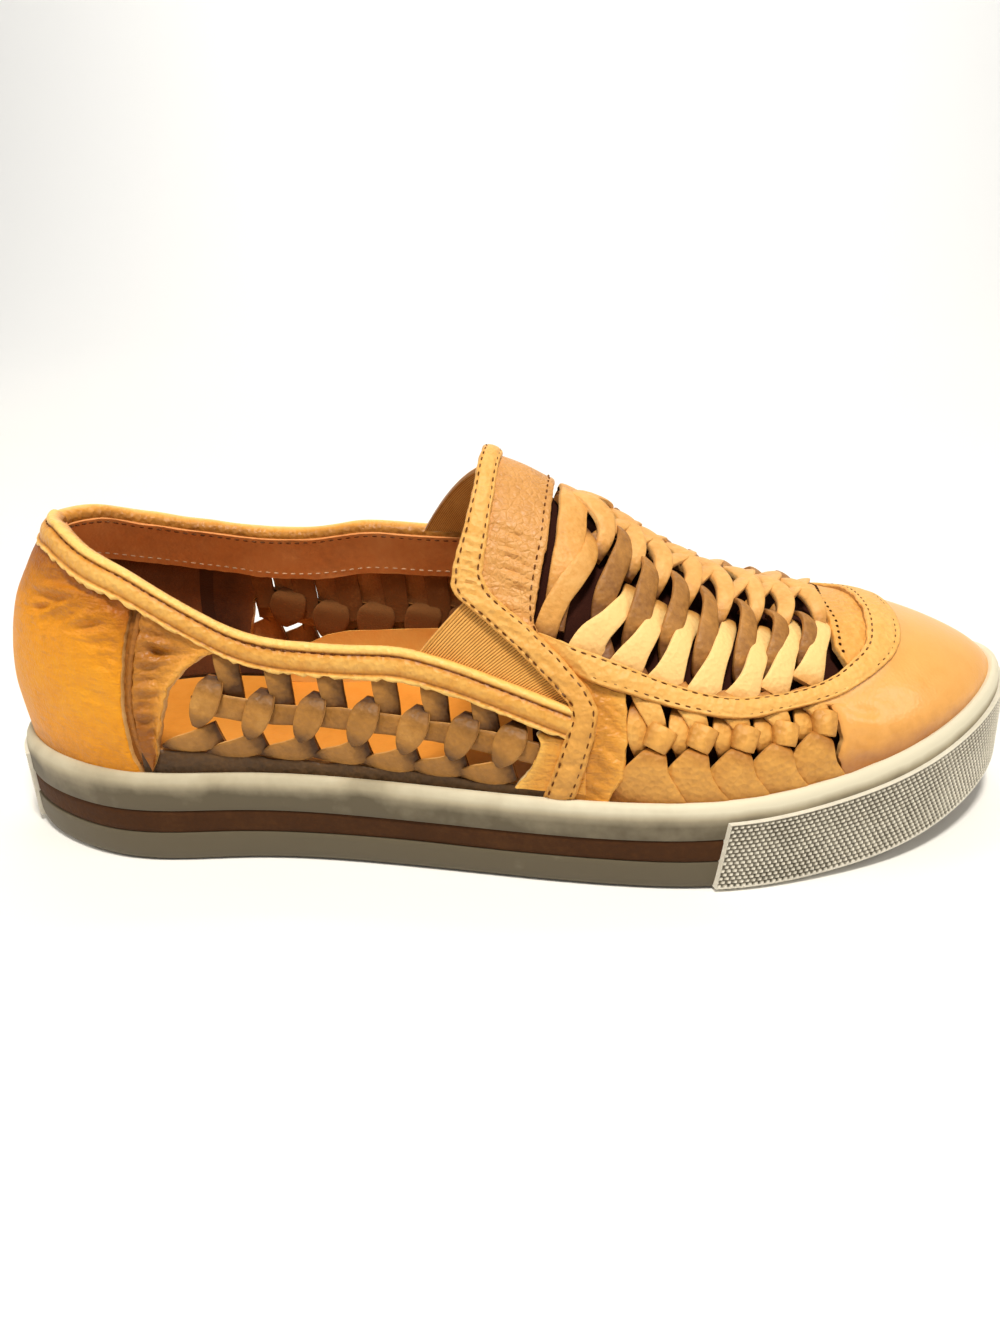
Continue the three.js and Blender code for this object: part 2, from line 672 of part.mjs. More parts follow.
// Gaps of the weave, and the strips raised round them, for one side
function quarterWeave(axis) {
  const gaps = [];
  const strips = [];
  const { first, pitch, count, back, front } = QUARTER;
  const lift = axis ? INNER_WEAVE_LIFT : 0;
  const weftPath = [];
  for (let i = 0; i <= WEFT_STEPS; i++) {
    const at = lerp(back, front, i / WEFT_STEPS);
    weftPath.push([at, quarterWeft(at) + lift, WEFT_STRIP.rise, WEFT_STRIP.width]);
  }
  strips.push(strip(weftPath, WEFT_WIDTH, axis));
  for (let i = 0; i < count; i++) {
    const at = first + i * pitch;
    const weft = quarterWeft(at) + lift;
    const loop = stripFrom(QUARTER_LOOP, at, weft);
    loop[0][1] = Math.min(loop[0][1], underBand(at));
    strips.push(strip(loop, LOOP_WIDTH, axis));
    gaps.push(gapFrom(QUARTER_LOW_GAP, at, weft, axis));
    if (i > 0) gaps.push(gapFrom(QUARTER_HIGH_GAP, at, weft, axis));
  }
  return { gaps, strips };
}

function forefootWeave(axis) {
  const gaps = [];
  const strips = [];
  const { first, pitch, count, weft } = FOREFOOT;
  const { foot, tip } = FOREFOOT_PETAL;
  for (let i = 0; i < count; i++) {
    const at = first + i * pitch;
    const petal = [
      [at + foot.along, aboveRim(at, PETAL_FOOT), foot.rise, foot.width],
      [at + tip.along, weft + tip.across, tip.rise, tip.width],
    ];
    strips.push(strip(petal, PETAL_WIDTH, axis));
    strips.push(strip(stripFrom(FOREFOOT_LOOP, at, weft), WEFT_WIDTH, axis));
    gaps.push(gapFrom(FOREFOOT_HIGH_GAP, at, weft, axis));
    if (i < count - 1) gaps.push(gapFrom(FOREFOOT_LOW_GAP, at, weft, axis));
  }
  return { gaps, strips };
}

function vampWeave(axis) {
  const gaps = [];
  const strips = [];
  const { first, pitch, count } = VAMP;
  for (let i = 0; i < count; i++) {
    const at = first + i * pitch;
    const toe = i / (count - 1);
    const across = {
      top: lerp(VAMP_THROAT.top, VAMP_TOE.top, toe),
      tip: lerp(VAMP_THROAT.tip, VAMP_TOE.tip, toe),
      ring: lerp(VAMP_THROAT.ring, VAMP_TOE.ring, Math.max(2 * toe - 1, 0)),
    };
    const leaf = VAMP_LEAF.map((row) => [
      at + row.along,
      lerp(across.top, across.tip, row.down),
      row.rise,
      row.width,
    ]);
    const corner = (row) => [at + row.along, across[row.from] + row.across];
    strips.push(strip(leaf, LEAF_WIDTH, axis));
    gaps.push(hole(VAMP_LOW_GAP.map(corner), axis), hole(VAMP_HIGH_GAP.map(corner), axis));
  }
  return { gaps, strips };
}

function seamStep(axis) {
  const lowest = aboveRim(COUNTER_SEAM[0].at, SEAM_FOOT);
  const highest = COUNTER_SEAM[COUNTER_SEAM.length - 1].across - SEAM_STOP;
  const path = [];
  for (let i = 0; i <= SEAM_STEPS; i++) {
    const across = lerp(lowest, highest, i / SEAM_STEPS);
    path.push([counterSeam(across) + SEAM_OFFSET, across, 1, 1]);
  }
  return strip(path, COUNTER_SEAM_WIDTH, axis);
}

function upperSolid() {
  const outside = lastForm(0, FOOT_DEPTH, LENGTH_STEPS, GIRTH_STEPS);
  const inside = lastForm(-UPPER_WALL, 2 * FOOT_DEPTH, LINING_LENGTH_STEPS, LINING_GIRTH_STEPS);
  const strips = [];
  const gaps = [];
  for (const inner of SIDES) {
    const axis = inner ? MIDDLE : 0;
    strips.push(seamStep(axis));
    for (const made of [quarterWeave(axis), forefootWeave(axis), vampWeave(inner ? APRON_AXIS : 0)]) {
      strips.push(...made.strips);
      gaps.push(...made.gaps);
    }
  }
  let body = outside;
  for (const one of strips) body = body.add(one);
  body = body.subtract(inside);
  for (const one of gaps) body = body.subtract(one);
  for (const inner of SIDES) body = body.subtract(collarCut(inner));
  const parts = body.decompose().sort((a, b) => b.volume() - a.volume());
  return parts[0];
}

// The sole's outline at one height, as an outer and an inner line, drawn in by an inset
function soleLoop(up, inset, fromAt, toAt, steps) {
  const point = (at, side) => {
    const along = lerp(inset, SHOE_LENGTH - inset, at);
    const z = lerp(underside(along / SHOE_LENGTH), rimHeight(along / SHOE_LENGTH), up);
    const y = centreLine(along / SHOE_LENGTH) + side * halfWidth(at, inset);
    return new THREE.Vector3(along, y, z);
  };
  const start = unspread(fromAt);
  const end = unspread(toAt);
  const outer = [];
  const inner = [];
  for (let i = 0; i <= steps; i++) {
    const at = spread(lerp(start, end, i / steps));
    outer.push(point(at, -1));
    inner.push(point(at, 1));
  }
  return { outer, inner };
}

function soleSolid() {
  const depth = STRIPE_THICKNESS + CLEARANCE;
  const side = SIDE_PROFILE.map(({ up, inset }) => ({ up, inset: inset * RIM_WIDTH }));
  const channel = [
    { up: STRIPE_LOW, inset: 0 },
    { up: STRIPE_LOW, inset: depth },
    { up: STRIPE_HIGH, inset: depth },
    { up: STRIPE_HIGH, inset: 0 },
  ];
  const rows = [...side, ...channel].sort((a, b) => a.up - b.up);
  const loops = rows.map(({ up, inset }) => {
    const { outer, inner } = soleLoop(up, inset, 0, 1, SOLE_STEPS);
    return { outer, inner, ring: [...outer, ...inner.slice(1, -1).reverse()] };
  });
  const corners = tube(loops.map((loop) => loop.ring));
  const floor = loops[0];
  const roof = loops[loops.length - 1];
  for (let i = 0; i < SOLE_STEPS; i++) {
    quad(corners, floor.outer[i], floor.inner[i], floor.inner[i + 1], floor.outer[i + 1]);
    quad(corners, roof.outer[i], roof.outer[i + 1], roof.inner[i + 1], roof.inner[i]);
  }
  let body = solid(corners);
  body = body.subtract(lastForm(CLEARANCE, FOOT_DEPTH + CLEARANCE, LENGTH_STEPS, GIRTH_STEPS));
  for (const groove of treadGrooves()) body = body.subtract(groove);
  return body;
}

// Chevron grooves of the tread, under the heel and under the ball of the foot
function treadGrooves() {
  const grooves = [];
  for (const { from, to } of TREAD_ZONES) {
    const count = Math.floor(((to - from) * SHOE_LENGTH) / TREAD_PITCH);
    for (let i = 0; i < count; i++) {
      const x = from * SHOE_LENGTH + i * TREAD_PITCH;
      const at = x / SHOE_LENGTH;
      const middle = centreLine(at);
      const reach = TREAD_REACH * halfWidth(at, 0);
      const outline = [
        [x, middle - reach],
        [x + TREAD_PITCH / 2, middle],
        [x, middle + reach],
        [x + TREAD_GROOVE, middle + reach],
        [x + TREAD_PITCH / 2 + TREAD_GROOVE, middle],
        [x + TREAD_GROOVE, middle - reach],
      ];
      const low = outline.map(([px, py]) => new THREE.Vector3(px, py, -TREAD_DEPTH));
      const high = outline.map(([px, py]) => new THREE.Vector3(px, py, TREAD_DEPTH));
      const corners = tube([low, high]);
      for (const [a, b, c, d] of [
        [0, 1, 4, 5],
        [1, 2, 3, 4],
      ]) {
        quad(corners, low[d], low[c], low[b], low[a]);
        quad(corners, high[a], high[b], high[c], high[d]);
      }
      grooves.push(solid(corners));
    }
  }
  return grooves;
}

// A band standing off the sole's side between two heights, round the toe or round the heel
function sideBand({ fromAt, toAt, low, high, near, far, steps }) {
  const ring = (up, out) => {
    const { outer, inner } = soleLoop(up, -out, fromAt, toAt, steps);
    return toAt === 1 ? [...outer, ...inner.slice(0, -1).reverse()] : [...inner.reverse(), ...outer.slice(1)];
  };
  const rings = [ring(low, near), ring(low, far), ring(high, far), ring(high, near)];
  const loops = rings[0].map((_, i) => rings.map((one) => one[i]));
  const corners = tube(loops);
  const first = loops[0];
  const last = loops[loops.length - 1];
  quad(corners, first[3], first[2], first[1], first[0]);
  quad(corners, last[0], last[1], last[2], last[3]);
  return solid(corners);
}

function stripeSolid() {
  const seat = -STRIPE_THICKNESS;
  const side = CLEARANCE / SOLE_HEIGHT;
  return sideBand({
    fromAt: 0,
    toAt: STRIPE_END,
    low: STRIPE_LOW + side,
    high: STRIPE_HIGH - side,
    near: seat,
    far: 0,
    steps: STRIPE_STEPS,
  });
}

function bumperSolid() {
  return sideBand({
    fromAt: BUMPER_START,
    toAt: 1,
    low: BUMPER_LOW,
    high: BUMPER_HIGH,
    near: CLEARANCE,
    far: CLEARANCE + BUMPER_RUBBER,
    steps: BUMPER_STEPS,
  });
}

function heelPatchSolid() {
  return sideBand({
    fromAt: 0,
    toAt: HEEL_PATCH_END,
    low: BUMPER_LOW,
    high: BUMPER_HIGH,
    near: CLEARANCE,
    far: CLEARANCE + BUMPER_RUBBER / 2,
    steps: PATCH_STEPS,
  });
}

function insoleSolid() {
  const loops = [];
  for (let i = 0; i <= LINING_LENGTH_STEPS; i++) {
    const at = spread(i / LINING_LENGTH_STEPS);
    const inset = -UPPER_WALL - CLEARANCE;
    const outer = skin(at, 0, inset);
    const inner = skin(at, 1, inset);
    const low = outer.z - FOOT_DEPTH;
    const high = low + INSOLE_THICKNESS;
    const corner = ({ x, y }, z) => new THREE.Vector3(x, y, z);
    loops.push([corner(outer, low), corner(outer, high), corner(inner, high), corner(inner, low)]);
  }
  return solid(tube(loops));
}

// Overlays lie one clearance off the wall, and end one clearance above the sole's rim
const overlay = (thickness) => [OVERLAY_CLEARANCE, OVERLAY_CLEARANCE + thickness];
const hem = (at) => aboveRim(at, 2 * CLEARANCE);
// Spreads a share of the way over the upper between the hems on both sides
const overRims = (at, share) => lerp(hem(at), 1 - hem(at), share);

// Round the heel from the outer to the inner side: u runs from one end to the other
function roundHeel(u, outerEnd, innerEnd) {
  const inner = u > 0.5;
  const end = inner ? innerEnd : outerEnd;
  const share = Math.abs(2 * u - 1);
  return { at: spread(unspread(end) * share), inner };
}

function collarBandSolid() {
  const outerCorner = throatCorner(false);
  const innerCorner = throatCorner(true);
  const outerEnd = saddleBack(outerCorner) - BAND_STOP;
  const innerEnd = saddleBack(innerCorner) - BAND_STOP;
  const place = (u, v) => {
    const { at, inner } = roundHeel(u, outerEnd, innerEnd);
    return [at, belowCollar(at, inner, v * BAND_WIDTH)];
  };
  return sheet(BAND_STEPS, place, ...overlay(OVERLAY_LEATHER));
}

function heelCounterSolid() {
  const place = (u, v) => {
    const inner = u > 0.5;
    const share = Math.abs(2 * u - 1);
    const rise = (at) => lerp(hem(at), fold(belowCollar(at, inner, BAND_WIDTH + COUNTER_GAP)), v);
    const end = counterSeam(rise(COUNTER_SEAM[2].at));
    const at = spread(unspread(end) * share);
    const across = rise(at);
    return [at, inner ? 1 - across : across];
  };
  return sheet(COUNTER_STEPS, place, ...overlay(OVERLAY_LEATHER));
}

function saddleStrapSolid() {
  const place = (u, v) => {
    const across = overRims(SADDLE[0].front, u);
    return [lerp(saddleBack(fold(across)), saddleFront(fold(across)), v), across];
  };
  return sheet(STRAP_STEPS, place, ...overlay(STRAP_LEATHER));
}

function instepPanelSolid() {
  const first = INSTEP_PANEL[0].across;
  const place = (u, v) => {
    const across = lerp(first, 1 - first, u);
    const back = saddleFront(fold(across)) + alongGap * PANEL_GAPS;
    return [lerp(back, panelFront(fold(across)), v), across];
  };
  return sheet(PANEL_STEPS, place, ...overlay(OVERLAY_LEATHER));
}

// The apron's rows, from the outer strap round the toe to the inner strap
const apronRows = [
  ...APRON,
  ...APRON.slice(0, -1)
    .reverse()
    .map((row) => ({
      ...row,
      inAcross: 2 * APRON_AXIS - row.inAcross,
      outAcross: 2 * APRON_AXIS - row.outAcross,
    })),
].map((row, index) => ({ ...row, step: index }));
const apronInAt = spline(apronRows, "step", "inAt");
const apronInAcross = spline(apronRows, "step", "inAcross");
const apronOutAt = spline(apronRows, "step", "outAt");
const apronOutAcross = spline(apronRows, "step", "outAcross");

function apronRingSolid() {
  const last = apronRows.length - 1;
  const place = (u, v) => {
    const step = u * last;
    return [lerp(apronInAt(step), apronOutAt(step), v), lerp(apronInAcross(step), apronOutAcross(step), v)];
  };
  return sheet(RING_STEPS, place, ...overlay(STRAP_LEATHER));
}

// Share along at which the apron ring's edge passes a share across, on its toe side
function ringEdge(across, atCurve, acrossCurve) {
  let low = RING_TURN;
  let high = apronRows.length - 1 - RING_TURN;
  for (let i = 0; i < HALVINGS; i++) {
    const middle = (low + high) / 2;
    if (acrossCurve(middle) < across) low = middle;
    else high = middle;
  }
  return atCurve(low);
}

function toeTabSolid() {
  const { from, back, hollow, least } = TOE_TAB;
  const to = 2 * APRON_AXIS - from;
  const place = (u, v) => {
    const across = lerp(from, to, u);
    const edge = back + hollow * Math.abs(2 * u - 1) ** 3;
    const front = ringEdge(across, apronInAt, apronInAcross) - TAB_GAPS * alongGap;
    return [lerp(Math.min(edge, front - least), front, v), across];
  };
  return sheet(TAB_STEPS, place, ...overlay(OVERLAY_LEATHER));
}

// Share along at which the nose of the last comes down to the rim of the sole
function noseEnd() {
  let low = TOE_CAP_BACK;
  let high = 1;
  for (let i = 0; i < HALVINGS; i++) {
    const middle = (low + high) / 2;
    const along = RIM_WIDTH + middle * (SHOE_LENGTH - 2 * RIM_WIDTH);
    const overRim = lastPoint(middle, MIDDLE).z - rimHeight(along / SHOE_LENGTH);
    if (overRim > 3 * CLEARANCE) low = middle;
    else high = middle;
  }
  return low;
}

function toeCapSolid() {
  const ringStart = APRON[RING_TURN].outAcross;
  const end = noseEnd();
  const place = (u, v) => {
    const across = overRims(TOE_CAP_BACK, u);
    const ringed = across > ringStart && across < 2 * APRON_AXIS - ringStart;
    const edge = ringed ? ringEdge(across, apronOutAt, apronOutAcross) + CAP_GAPS * alongGap : 0;
    const back = Math.max(edge, TOE_CAP_BACK);
    const at = lerp(back, end, 1 - (1 - v) ** 2);
    return [at, overRims(at, u)];
  };
  return sheet(CAP_STEPS, place, TOE_CAP_CLEARANCE, TOE_CAP_CLEARANCE + OVERLAY_LEATHER);
}

// Elastic gusset in the corner between the collar and the saddle strap
function goreSolid(inner) {
  const corner = throatCorner(inner);
  const { freeAt, topAcross } = inner ? GORE.inner : GORE.outer;
  const tip = saddleBack(corner);
  const inset = GORE_GAPS * alongGap;
  const place = (u, v) => {
    const lowAt = lerp(freeAt, tip - inset * 2, u);
    const lowAcross = fold(belowCollar(lowAt, inner, -GORE_THICKNESS - CLEARANCE));
    const highAcross = lerp(topAcross, corner + GORE_CORNER, u);
    const highAt = saddleBack(highAcross) - inset;
    const across = lerp(lowAcross, highAcross, v);
    return [lerp(lowAt, highAt, v), inner ? 1 - across : across];
  };
  return sheet(GORE_STEPS, place, -GORE_THICKNESS - CLEARANCE, -CLEARANCE);
}

function geometryOf(body) {
  const mesh = body.getMesh();
  const geometry = new THREE.BufferGeometry();
  geometry.setAttribute("position", new THREE.BufferAttribute(new Float32Array(mesh.vertProperties), 3));
  geometry.setIndex(new THREE.BufferAttribute(new Uint32Array(mesh.triVerts), 1));
  geometry.computeVertexNormals();
  return geometry;
}

const rubber = new THREE.MeshStandardMaterial({ color: 0xd9d2bd, roughness: 0.75, metalness: 0 });
const stripeLeather = new THREE.MeshStandardMaterial({ color: 0x7a5230, roughness: 0.7, metalness: 0 });
const tanLeather = new THREE.MeshStandardMaterial({ color: 0xc98d4a, roughness: 0.5, metalness: 0 });
const insoleLeather = new THREE.MeshStandardMaterial({ color: 0xc77a33, roughness: 0.6, metalness: 0 });
const elastic = new THREE.MeshStandardMaterial({ color: 0xa8804e, roughness: 0.9, metalness: 0 });

const PIECES = [
  { name: "cup_sole", make: soleSolid, material: rubber },
  { name: "toe_bumper", make: bumperSolid, material: rubber },
  { name: "heel_patch", make: heelPatchSolid, material: rubber },
  { name: "sole_stripe", make: stripeSolid, material: stripeLeather },
  { name: "insole", make: insoleSolid, material: insoleLeather },
  { name: "upper", make: upperSolid, material: tanLeather },
  { name: "collar_band", make: collarBandSolid, material: tanLeather },
  { name: "heel_counter", make: heelCounterSolid, material: tanLeather },
  { name: "saddle_strap", make: saddleStrapSolid, material: tanLeather },
  { name: "instep_panel", make: instepPanelSolid, material: tanLeather },
  { name: "apron_ring", make: apronRingSolid, material: tanLeather },
  { name: "toe_tab", make: toeTabSolid, material: tanLeather },
  { name: "toe_cap", make: toeCapSolid, material: tanLeather },
  { name: "gore_outer", make: () => goreSolid(false), material: elastic },
  { name: "gore_inner", make: () => goreSolid(true), material: elastic },
];

const shoe = new THREE.Group();
for (const { name, make, material } of PIECES) {
  const mesh = new THREE.Mesh(geometryOf(make()), material);
  mesh.name = name;
  shoe.add(mesh);
}

// The origin is on the floor below the middle of the shoe
const box = new THREE.Box3().setFromObject(shoe);
const middle = box.getCenter(new THREE.Vector3());
shoe.position.set(-middle.x, -middle.y, -box.min.z);

export default shoe;
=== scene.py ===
import math
from collections import namedtuple

import bmesh
import bpy
import numpy as np
from mathutils import Matrix, Vector, noise


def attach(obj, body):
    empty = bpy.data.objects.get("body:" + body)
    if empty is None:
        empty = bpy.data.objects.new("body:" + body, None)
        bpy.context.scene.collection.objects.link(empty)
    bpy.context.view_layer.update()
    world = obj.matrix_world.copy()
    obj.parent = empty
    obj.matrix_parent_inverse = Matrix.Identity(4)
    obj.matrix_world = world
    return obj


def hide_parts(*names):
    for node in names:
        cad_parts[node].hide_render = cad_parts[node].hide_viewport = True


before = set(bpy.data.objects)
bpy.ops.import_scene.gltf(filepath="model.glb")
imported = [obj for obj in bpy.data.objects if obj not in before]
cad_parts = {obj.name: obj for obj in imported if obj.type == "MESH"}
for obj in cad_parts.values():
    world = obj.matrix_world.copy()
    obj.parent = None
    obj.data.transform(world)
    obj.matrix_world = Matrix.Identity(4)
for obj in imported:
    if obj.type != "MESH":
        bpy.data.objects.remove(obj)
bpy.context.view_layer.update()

# Driving dimensions in millimetres, the same as in the part's source
SHOE_LENGTH = 280
BALL_WIDTH = 100
SOLE_HEIGHT = 27
TOE_SPRING = 11
HEEL_LIFT = 1.5
INSTEP_HEIGHT = 100
RIM_WIDTH = 4
RIM_LIP = 3
UPPER_WALL = 1.8
BAND_WIDTH = 8
TREAD_DEPTH = 2
TREAD_PITCH = 11
TREAD_GROOVE = 3
FRAME_SHIFT = np.array([-140.35, 1.911, 0.0])
MILLIMETRE = 0.001

TOE_START = 0.78
TOE_ROUND = 2.3
WALL_BULGE = 0.03
LEAN_END = 0.25
SPRING_START = 0.72
HEEL_LIFT_END = 0.06
APRON_AXIS = 0.48
MIDDLE_AXIS = 0.5
STRIPE_LOW = 0.34
STRIPE_HIGH = 0.6
STRIPE_END = 0.7035
BUMPER_START = 0.705
BUMPER_LOW = 0.04
BUMPER_HIGH = 0.8
HEEL_PATCH_END = 0.022


def table(columns, *rows):
    """Named columns of numbers from rows of a table."""
    return dict(zip(columns.split(), np.array(rows, float).T))


# The form of the sole and of the last, as shares of the sizes above
PLAN = table(
    "at half centre",
    (0, 1.22, 0), (0.06, 0.555, 0), (0.14, 0.755, -0.01), (0.25, 0.755, -0.02), (0.38, 0.765, -0.06),
    (0.5, 0.86, -0.08), (0.62, 0.965, -0.075), (0.71, 1, -0.04), (0.8, 0.925, 0.015), (0.88, 0.775, 0.065),
    (0.95, 0.52, 0.14), (1, 1.16, 0.2),
)
RIM = table("at height", (0, 1), (0.25, 0.94), (0.5, 0.87), (0.72, 0.89), (0.88, 0.98), (1, 1.02))
LAST = table(
    "at crest box skew",
    (0, 1.08, 1.6, 0), (0.15, 1.09, 1.65, 0), (0.3, 1.09, 1.72, 0.04), (0.42, 1.05, 1.78, 0.08),
    (0.5, 0.985, 1.82, 0.1), (0.56, 0.905, 1.86, 0.1), (0.63, 0.765, 1.94, 0.1), (0.7, 0.655, 2.02, 0.09),
    (0.78, 0.585, 2.1, 0.08), (0.86, 0.555, 2.16, 0.06), (0.94, 0.53, 2.2, 0.03), (1, 0.5, 2.2, 0),
)
HEEL_BACK = table(
    "height forward",
    (0, 0.007), (0.22, 0.002), (0.4, -0.007), (0.6, 0.002), (0.78, 0.036), (0.875, 0.061), (1.3, 0.13),
)
COLLAR = table(
    "at outer inner",
    (-0.05, 0.868, 0.868), (0.05, 0.868, 0.868), (0.095, 0.868, 0.848), (0.125, 0.825, 0.812),
    (0.17, 0.775, 0.775), (0.235, 0.67, 0.742), (0.265, 0.625, 0.735), (0.3, 0.598, 0.735),
    (0.36, 0.586, 0.758), (0.42, 0.586, 0.735), (0.467, 0.554, 0.722), (0.526, 0.5, 0.705),
    (0.57, 0.457, 0.7),
)
SADDLE = table(
    "across back front",
    (0, 0.542, 0.571), (0.054, 0.557, 0.584), (0.098, 0.568, 0.593), (0.12, 0.573, 0.596),
    (0.135, 0.57, 0.597), (0.156, 0.55, 0.589), (0.182, 0.522, 0.567), (0.208, 0.489, 0.538),
    (0.222, 0.47, 0.517), (0.234, 0.465, 0.502), (0.253, 0.467, 0.494), (0.307, 0.477, 0.499),
    (0.365, 0.484, 0.503), (0.5, 0.49, 0.508),
)
PANEL = table("across front", (0.215, 0.54), (0.28, 0.547), (0.33, 0.553), (0.42, 0.557), (0.5, 0.559))
APRON = table(
    "inAt inAcross outAt outAcross",
    (0.529, 0.207, 0.563, 0.171), (0.551, 0.205, 0.583, 0.168), (0.575, 0.202, 0.6, 0.165),
    (0.605, 0.202, 0.623, 0.165), (0.649, 0.198, 0.672, 0.161), (0.707, 0.192, 0.725, 0.158),
    (0.742, 0.198, 0.762, 0.17), (0.795, 0.218, 0.812, 0.188), (0.829, 0.263, 0.85, 0.23),
    (0.848, 0.311, 0.875, 0.282), (0.856, 0.367, 0.889, 0.35), (0.86, 0.425, 0.894, 0.42),
    (0.861, 0.48, 0.895, 0.48),
)
COUNTER_SEAM = table("across at", (0, 0.164), (0.05, 0.15), (0.1, 0.148), (0.15, 0.153), (0.21, 0.164))
GORE = {
    False: {"freeAt": 0.426, "topAcross": 0.222},
    True: {"freeAt": 0.412, "topAcross": 0.4},
}


def natural_spline(x, y):
    """A natural cubic spline through points; its end pieces go on past the ends."""
    gap = np.diff(x)
    slope = np.diff(y) / gap
    system = np.eye(len(x))
    right = np.zeros(len(x))
    for i in range(1, len(x) - 1):
        system[i, i - 1 : i + 2] = gap[i - 1], 2 * (gap[i - 1] + gap[i]), gap[i]
        right[i] = 6 * (slope[i] - slope[i - 1])
    bend = np.linalg.solve(system, right)

    def curve(value):
        i = np.clip(np.searchsorted(x, value) - 1, 0, len(x) - 2)
        after = (value - x[i]) / gap[i]
        before = 1 - after
        curvature = (before**3 - before) * bend[i] + (after**3 - after) * bend[i + 1]
        return before * y[i] + after * y[i + 1] + curvature * gap[i] ** 2 / 6

    return curve


def polyline(x, y):
    def curve(value):
        i = np.clip(np.searchsorted(x, value) - 1, 0, len(x) - 2)
        return y[i] + (y[i + 1] - y[i]) * (value - x[i]) / (x[i + 1] - x[i])

    return curve


def lerp(low, high, share):
    return low + (high - low) * share


def round_ends(at):
    return 2 * np.sqrt(np.clip(at * (1 - at), 0, None))


def spread(share):
    """Spaces shares closer at the heel and the toe, and unspread is its inverse."""
    return (1 - np.cos(np.pi * share)) / 2


def unspread(at):
    return np.arccos(np.clip(1 - 2 * at, -1, 1)) / np.pi


_end = round_ends(PLAN["at"])
_end[_end == 0] = 1
outline_shape = natural_spline(PLAN["at"], PLAN["half"] / _end)
outline_centre = natural_spline(PLAN["at"], PLAN["centre"])
rim_share = natural_spline(RIM["at"], RIM["height"])
crest_share = natural_spline(LAST["at"], LAST["crest"])
boxiness = natural_spline(LAST["at"], LAST["box"])
skew_share = natural_spline(LAST["at"], LAST["skew"])
heel_back = natural_spline(HEEL_BACK["height"], HEEL_BACK["forward"])
collar_edge = {
    False: polyline(COLLAR["at"], COLLAR["outer"]),
    True: polyline(COLLAR["at"], COLLAR["inner"]),
}
saddle_back = polyline(SADDLE["across"], SADDLE["back"])
saddle_front = polyline(SADDLE["across"], SADDLE["front"])
counter_seam = polyline(COUNTER_SEAM["across"], COUNTER_SEAM["at"])
LAST_LENGTH = SHOE_LENGTH - 2 * RIM_WIDTH
HALVINGS = 30


def half_width(at, inset):
    rounded = round_ends(at)
    return np.clip(BALL_WIDTH / 2 * outline_shape(at) * rounded - inset * np.sqrt(rounded), 0, None)


def centre_line(at):
    return BALL_WIDTH / 2 * outline_centre(at)


def underside(at):
    toe = np.clip((at - SPRING_START) / (1 - SPRING_START), 0, 1)
    heel = np.clip(1 - at / HEEL_LIFT_END, 0, 1)
    return TOE_SPRING * toe**2 + HEEL_LIFT * heel**2


def rim_height(at):
    toe = np.clip((at - SPRING_START) / (1 - SPRING_START), 0, 1)
    return SOLE_HEIGHT * rim_share(at) + TOE_SPRING * toe**2


def last_point(at, across):
    """A point of the last in millimetres: at from heel to toe, across from the outer to the inner rim."""
    at, across = np.broadcast_arrays(np.clip(at, 0, 1), np.clip(across, 0, 1))
    along = RIM_WIDTH + at * LAST_LENGTH
    share = along / SHOE_LENGTH
    feather = rim_height(share) - RIM_LIP
    toe = np.clip((at - TOE_START) / (1 - TOE_START), 0, 1)
    dome = np.sqrt(np.clip(1 - toe**TOE_ROUND, 0, None))
    height = (INSTEP_HEIGHT * crest_share(at) - feather) * dome
    angle = np.pi * across
    power = 2 / boxiness(at)
    sideways = -np.sign(np.cos(angle)) * np.abs(np.cos(angle)) ** power
    up = np.abs(np.sin(angle)) ** power
    bulge = 1 + WALL_BULGE * np.sin(np.pi * np.clip(1.5 * up, 0, 1))
    z = feather + height * up
    lean = SHOE_LENGTH * heel_back(z / INSTEP_HEIGHT) * np.clip(1 - at / LEAN_END, 0, 1) ** 2
    skew = BALL_WIDTH / 2 * skew_share(at) * up
    y = centre_line(share) + half_width(at, RIM_WIDTH) * sideways * bulge + skew
    return np.stack([along + lean, y, z], -1)


def unit(vectors):
    return vectors / np.maximum(np.linalg.norm(vectors, axis=-1, keepdims=True), 1e-12)


SMALL = 1e-4


def last_normal(at, across):
    """The outward direction of the last at two shares."""
    at, across = np.broadcast_arrays(np.clip(at, 0, 1), np.clip(across, 0, 1))
    over = unit(last_point(at, across + SMALL) - last_point(at, across - SMALL))
    share = unspread(at)
    ahead = last_point(spread(np.clip(share + SMALL, 0, 1)), across)
    behind = last_point(spread(np.clip(share - SMALL, 0, 1)), across)
    normal = -unit(np.cross(over, ahead - behind))
    back = np.array([-1.0, 0.0, 0.0])
    heel = unit(back - over * (over @ back)[..., None])
    normal = np.where((share < SMALL)[..., None], heel, normal)
    return np.where((share > 1 - SMALL)[..., None], -back, normal)


def skin(at, across, raised):
    """A point over the last, raised by mm along its normal."""
    raised = np.asarray(raised, float)[..., None]
    return last_point(at, across) + last_normal(at, across) * raised

def halved(low, high, goes_on):
    """The last place from low to high at which goes_on still holds."""
    for _ in range(HALVINGS):
        middle = (low + high) / 2
        on = goes_on(middle)
        low = np.where(on, middle, low)
        high = np.where(on, high, middle)
    return low


def mirrored(across, inner):
    """A share across counted from the rim of one side of the foot."""
    return 1 - across if inner else across


def across_at_height(at, height, inner):
    """The share across at which a side of the last reaches a height in mm."""
    at = np.asarray(at, float)

    def under(share):
        return last_point(at, mirrored(share, inner))[..., 2] < height

    return mirrored(halved(np.zeros_like(at), np.full_like(at, MIDDLE_AXIS), under), inner)


def above_rim(at, distance):
    along = RIM_WIDTH + np.asarray(at, float) * LAST_LENGTH
    return across_at_height(at, rim_height(along / SHOE_LENGTH) + distance, False)


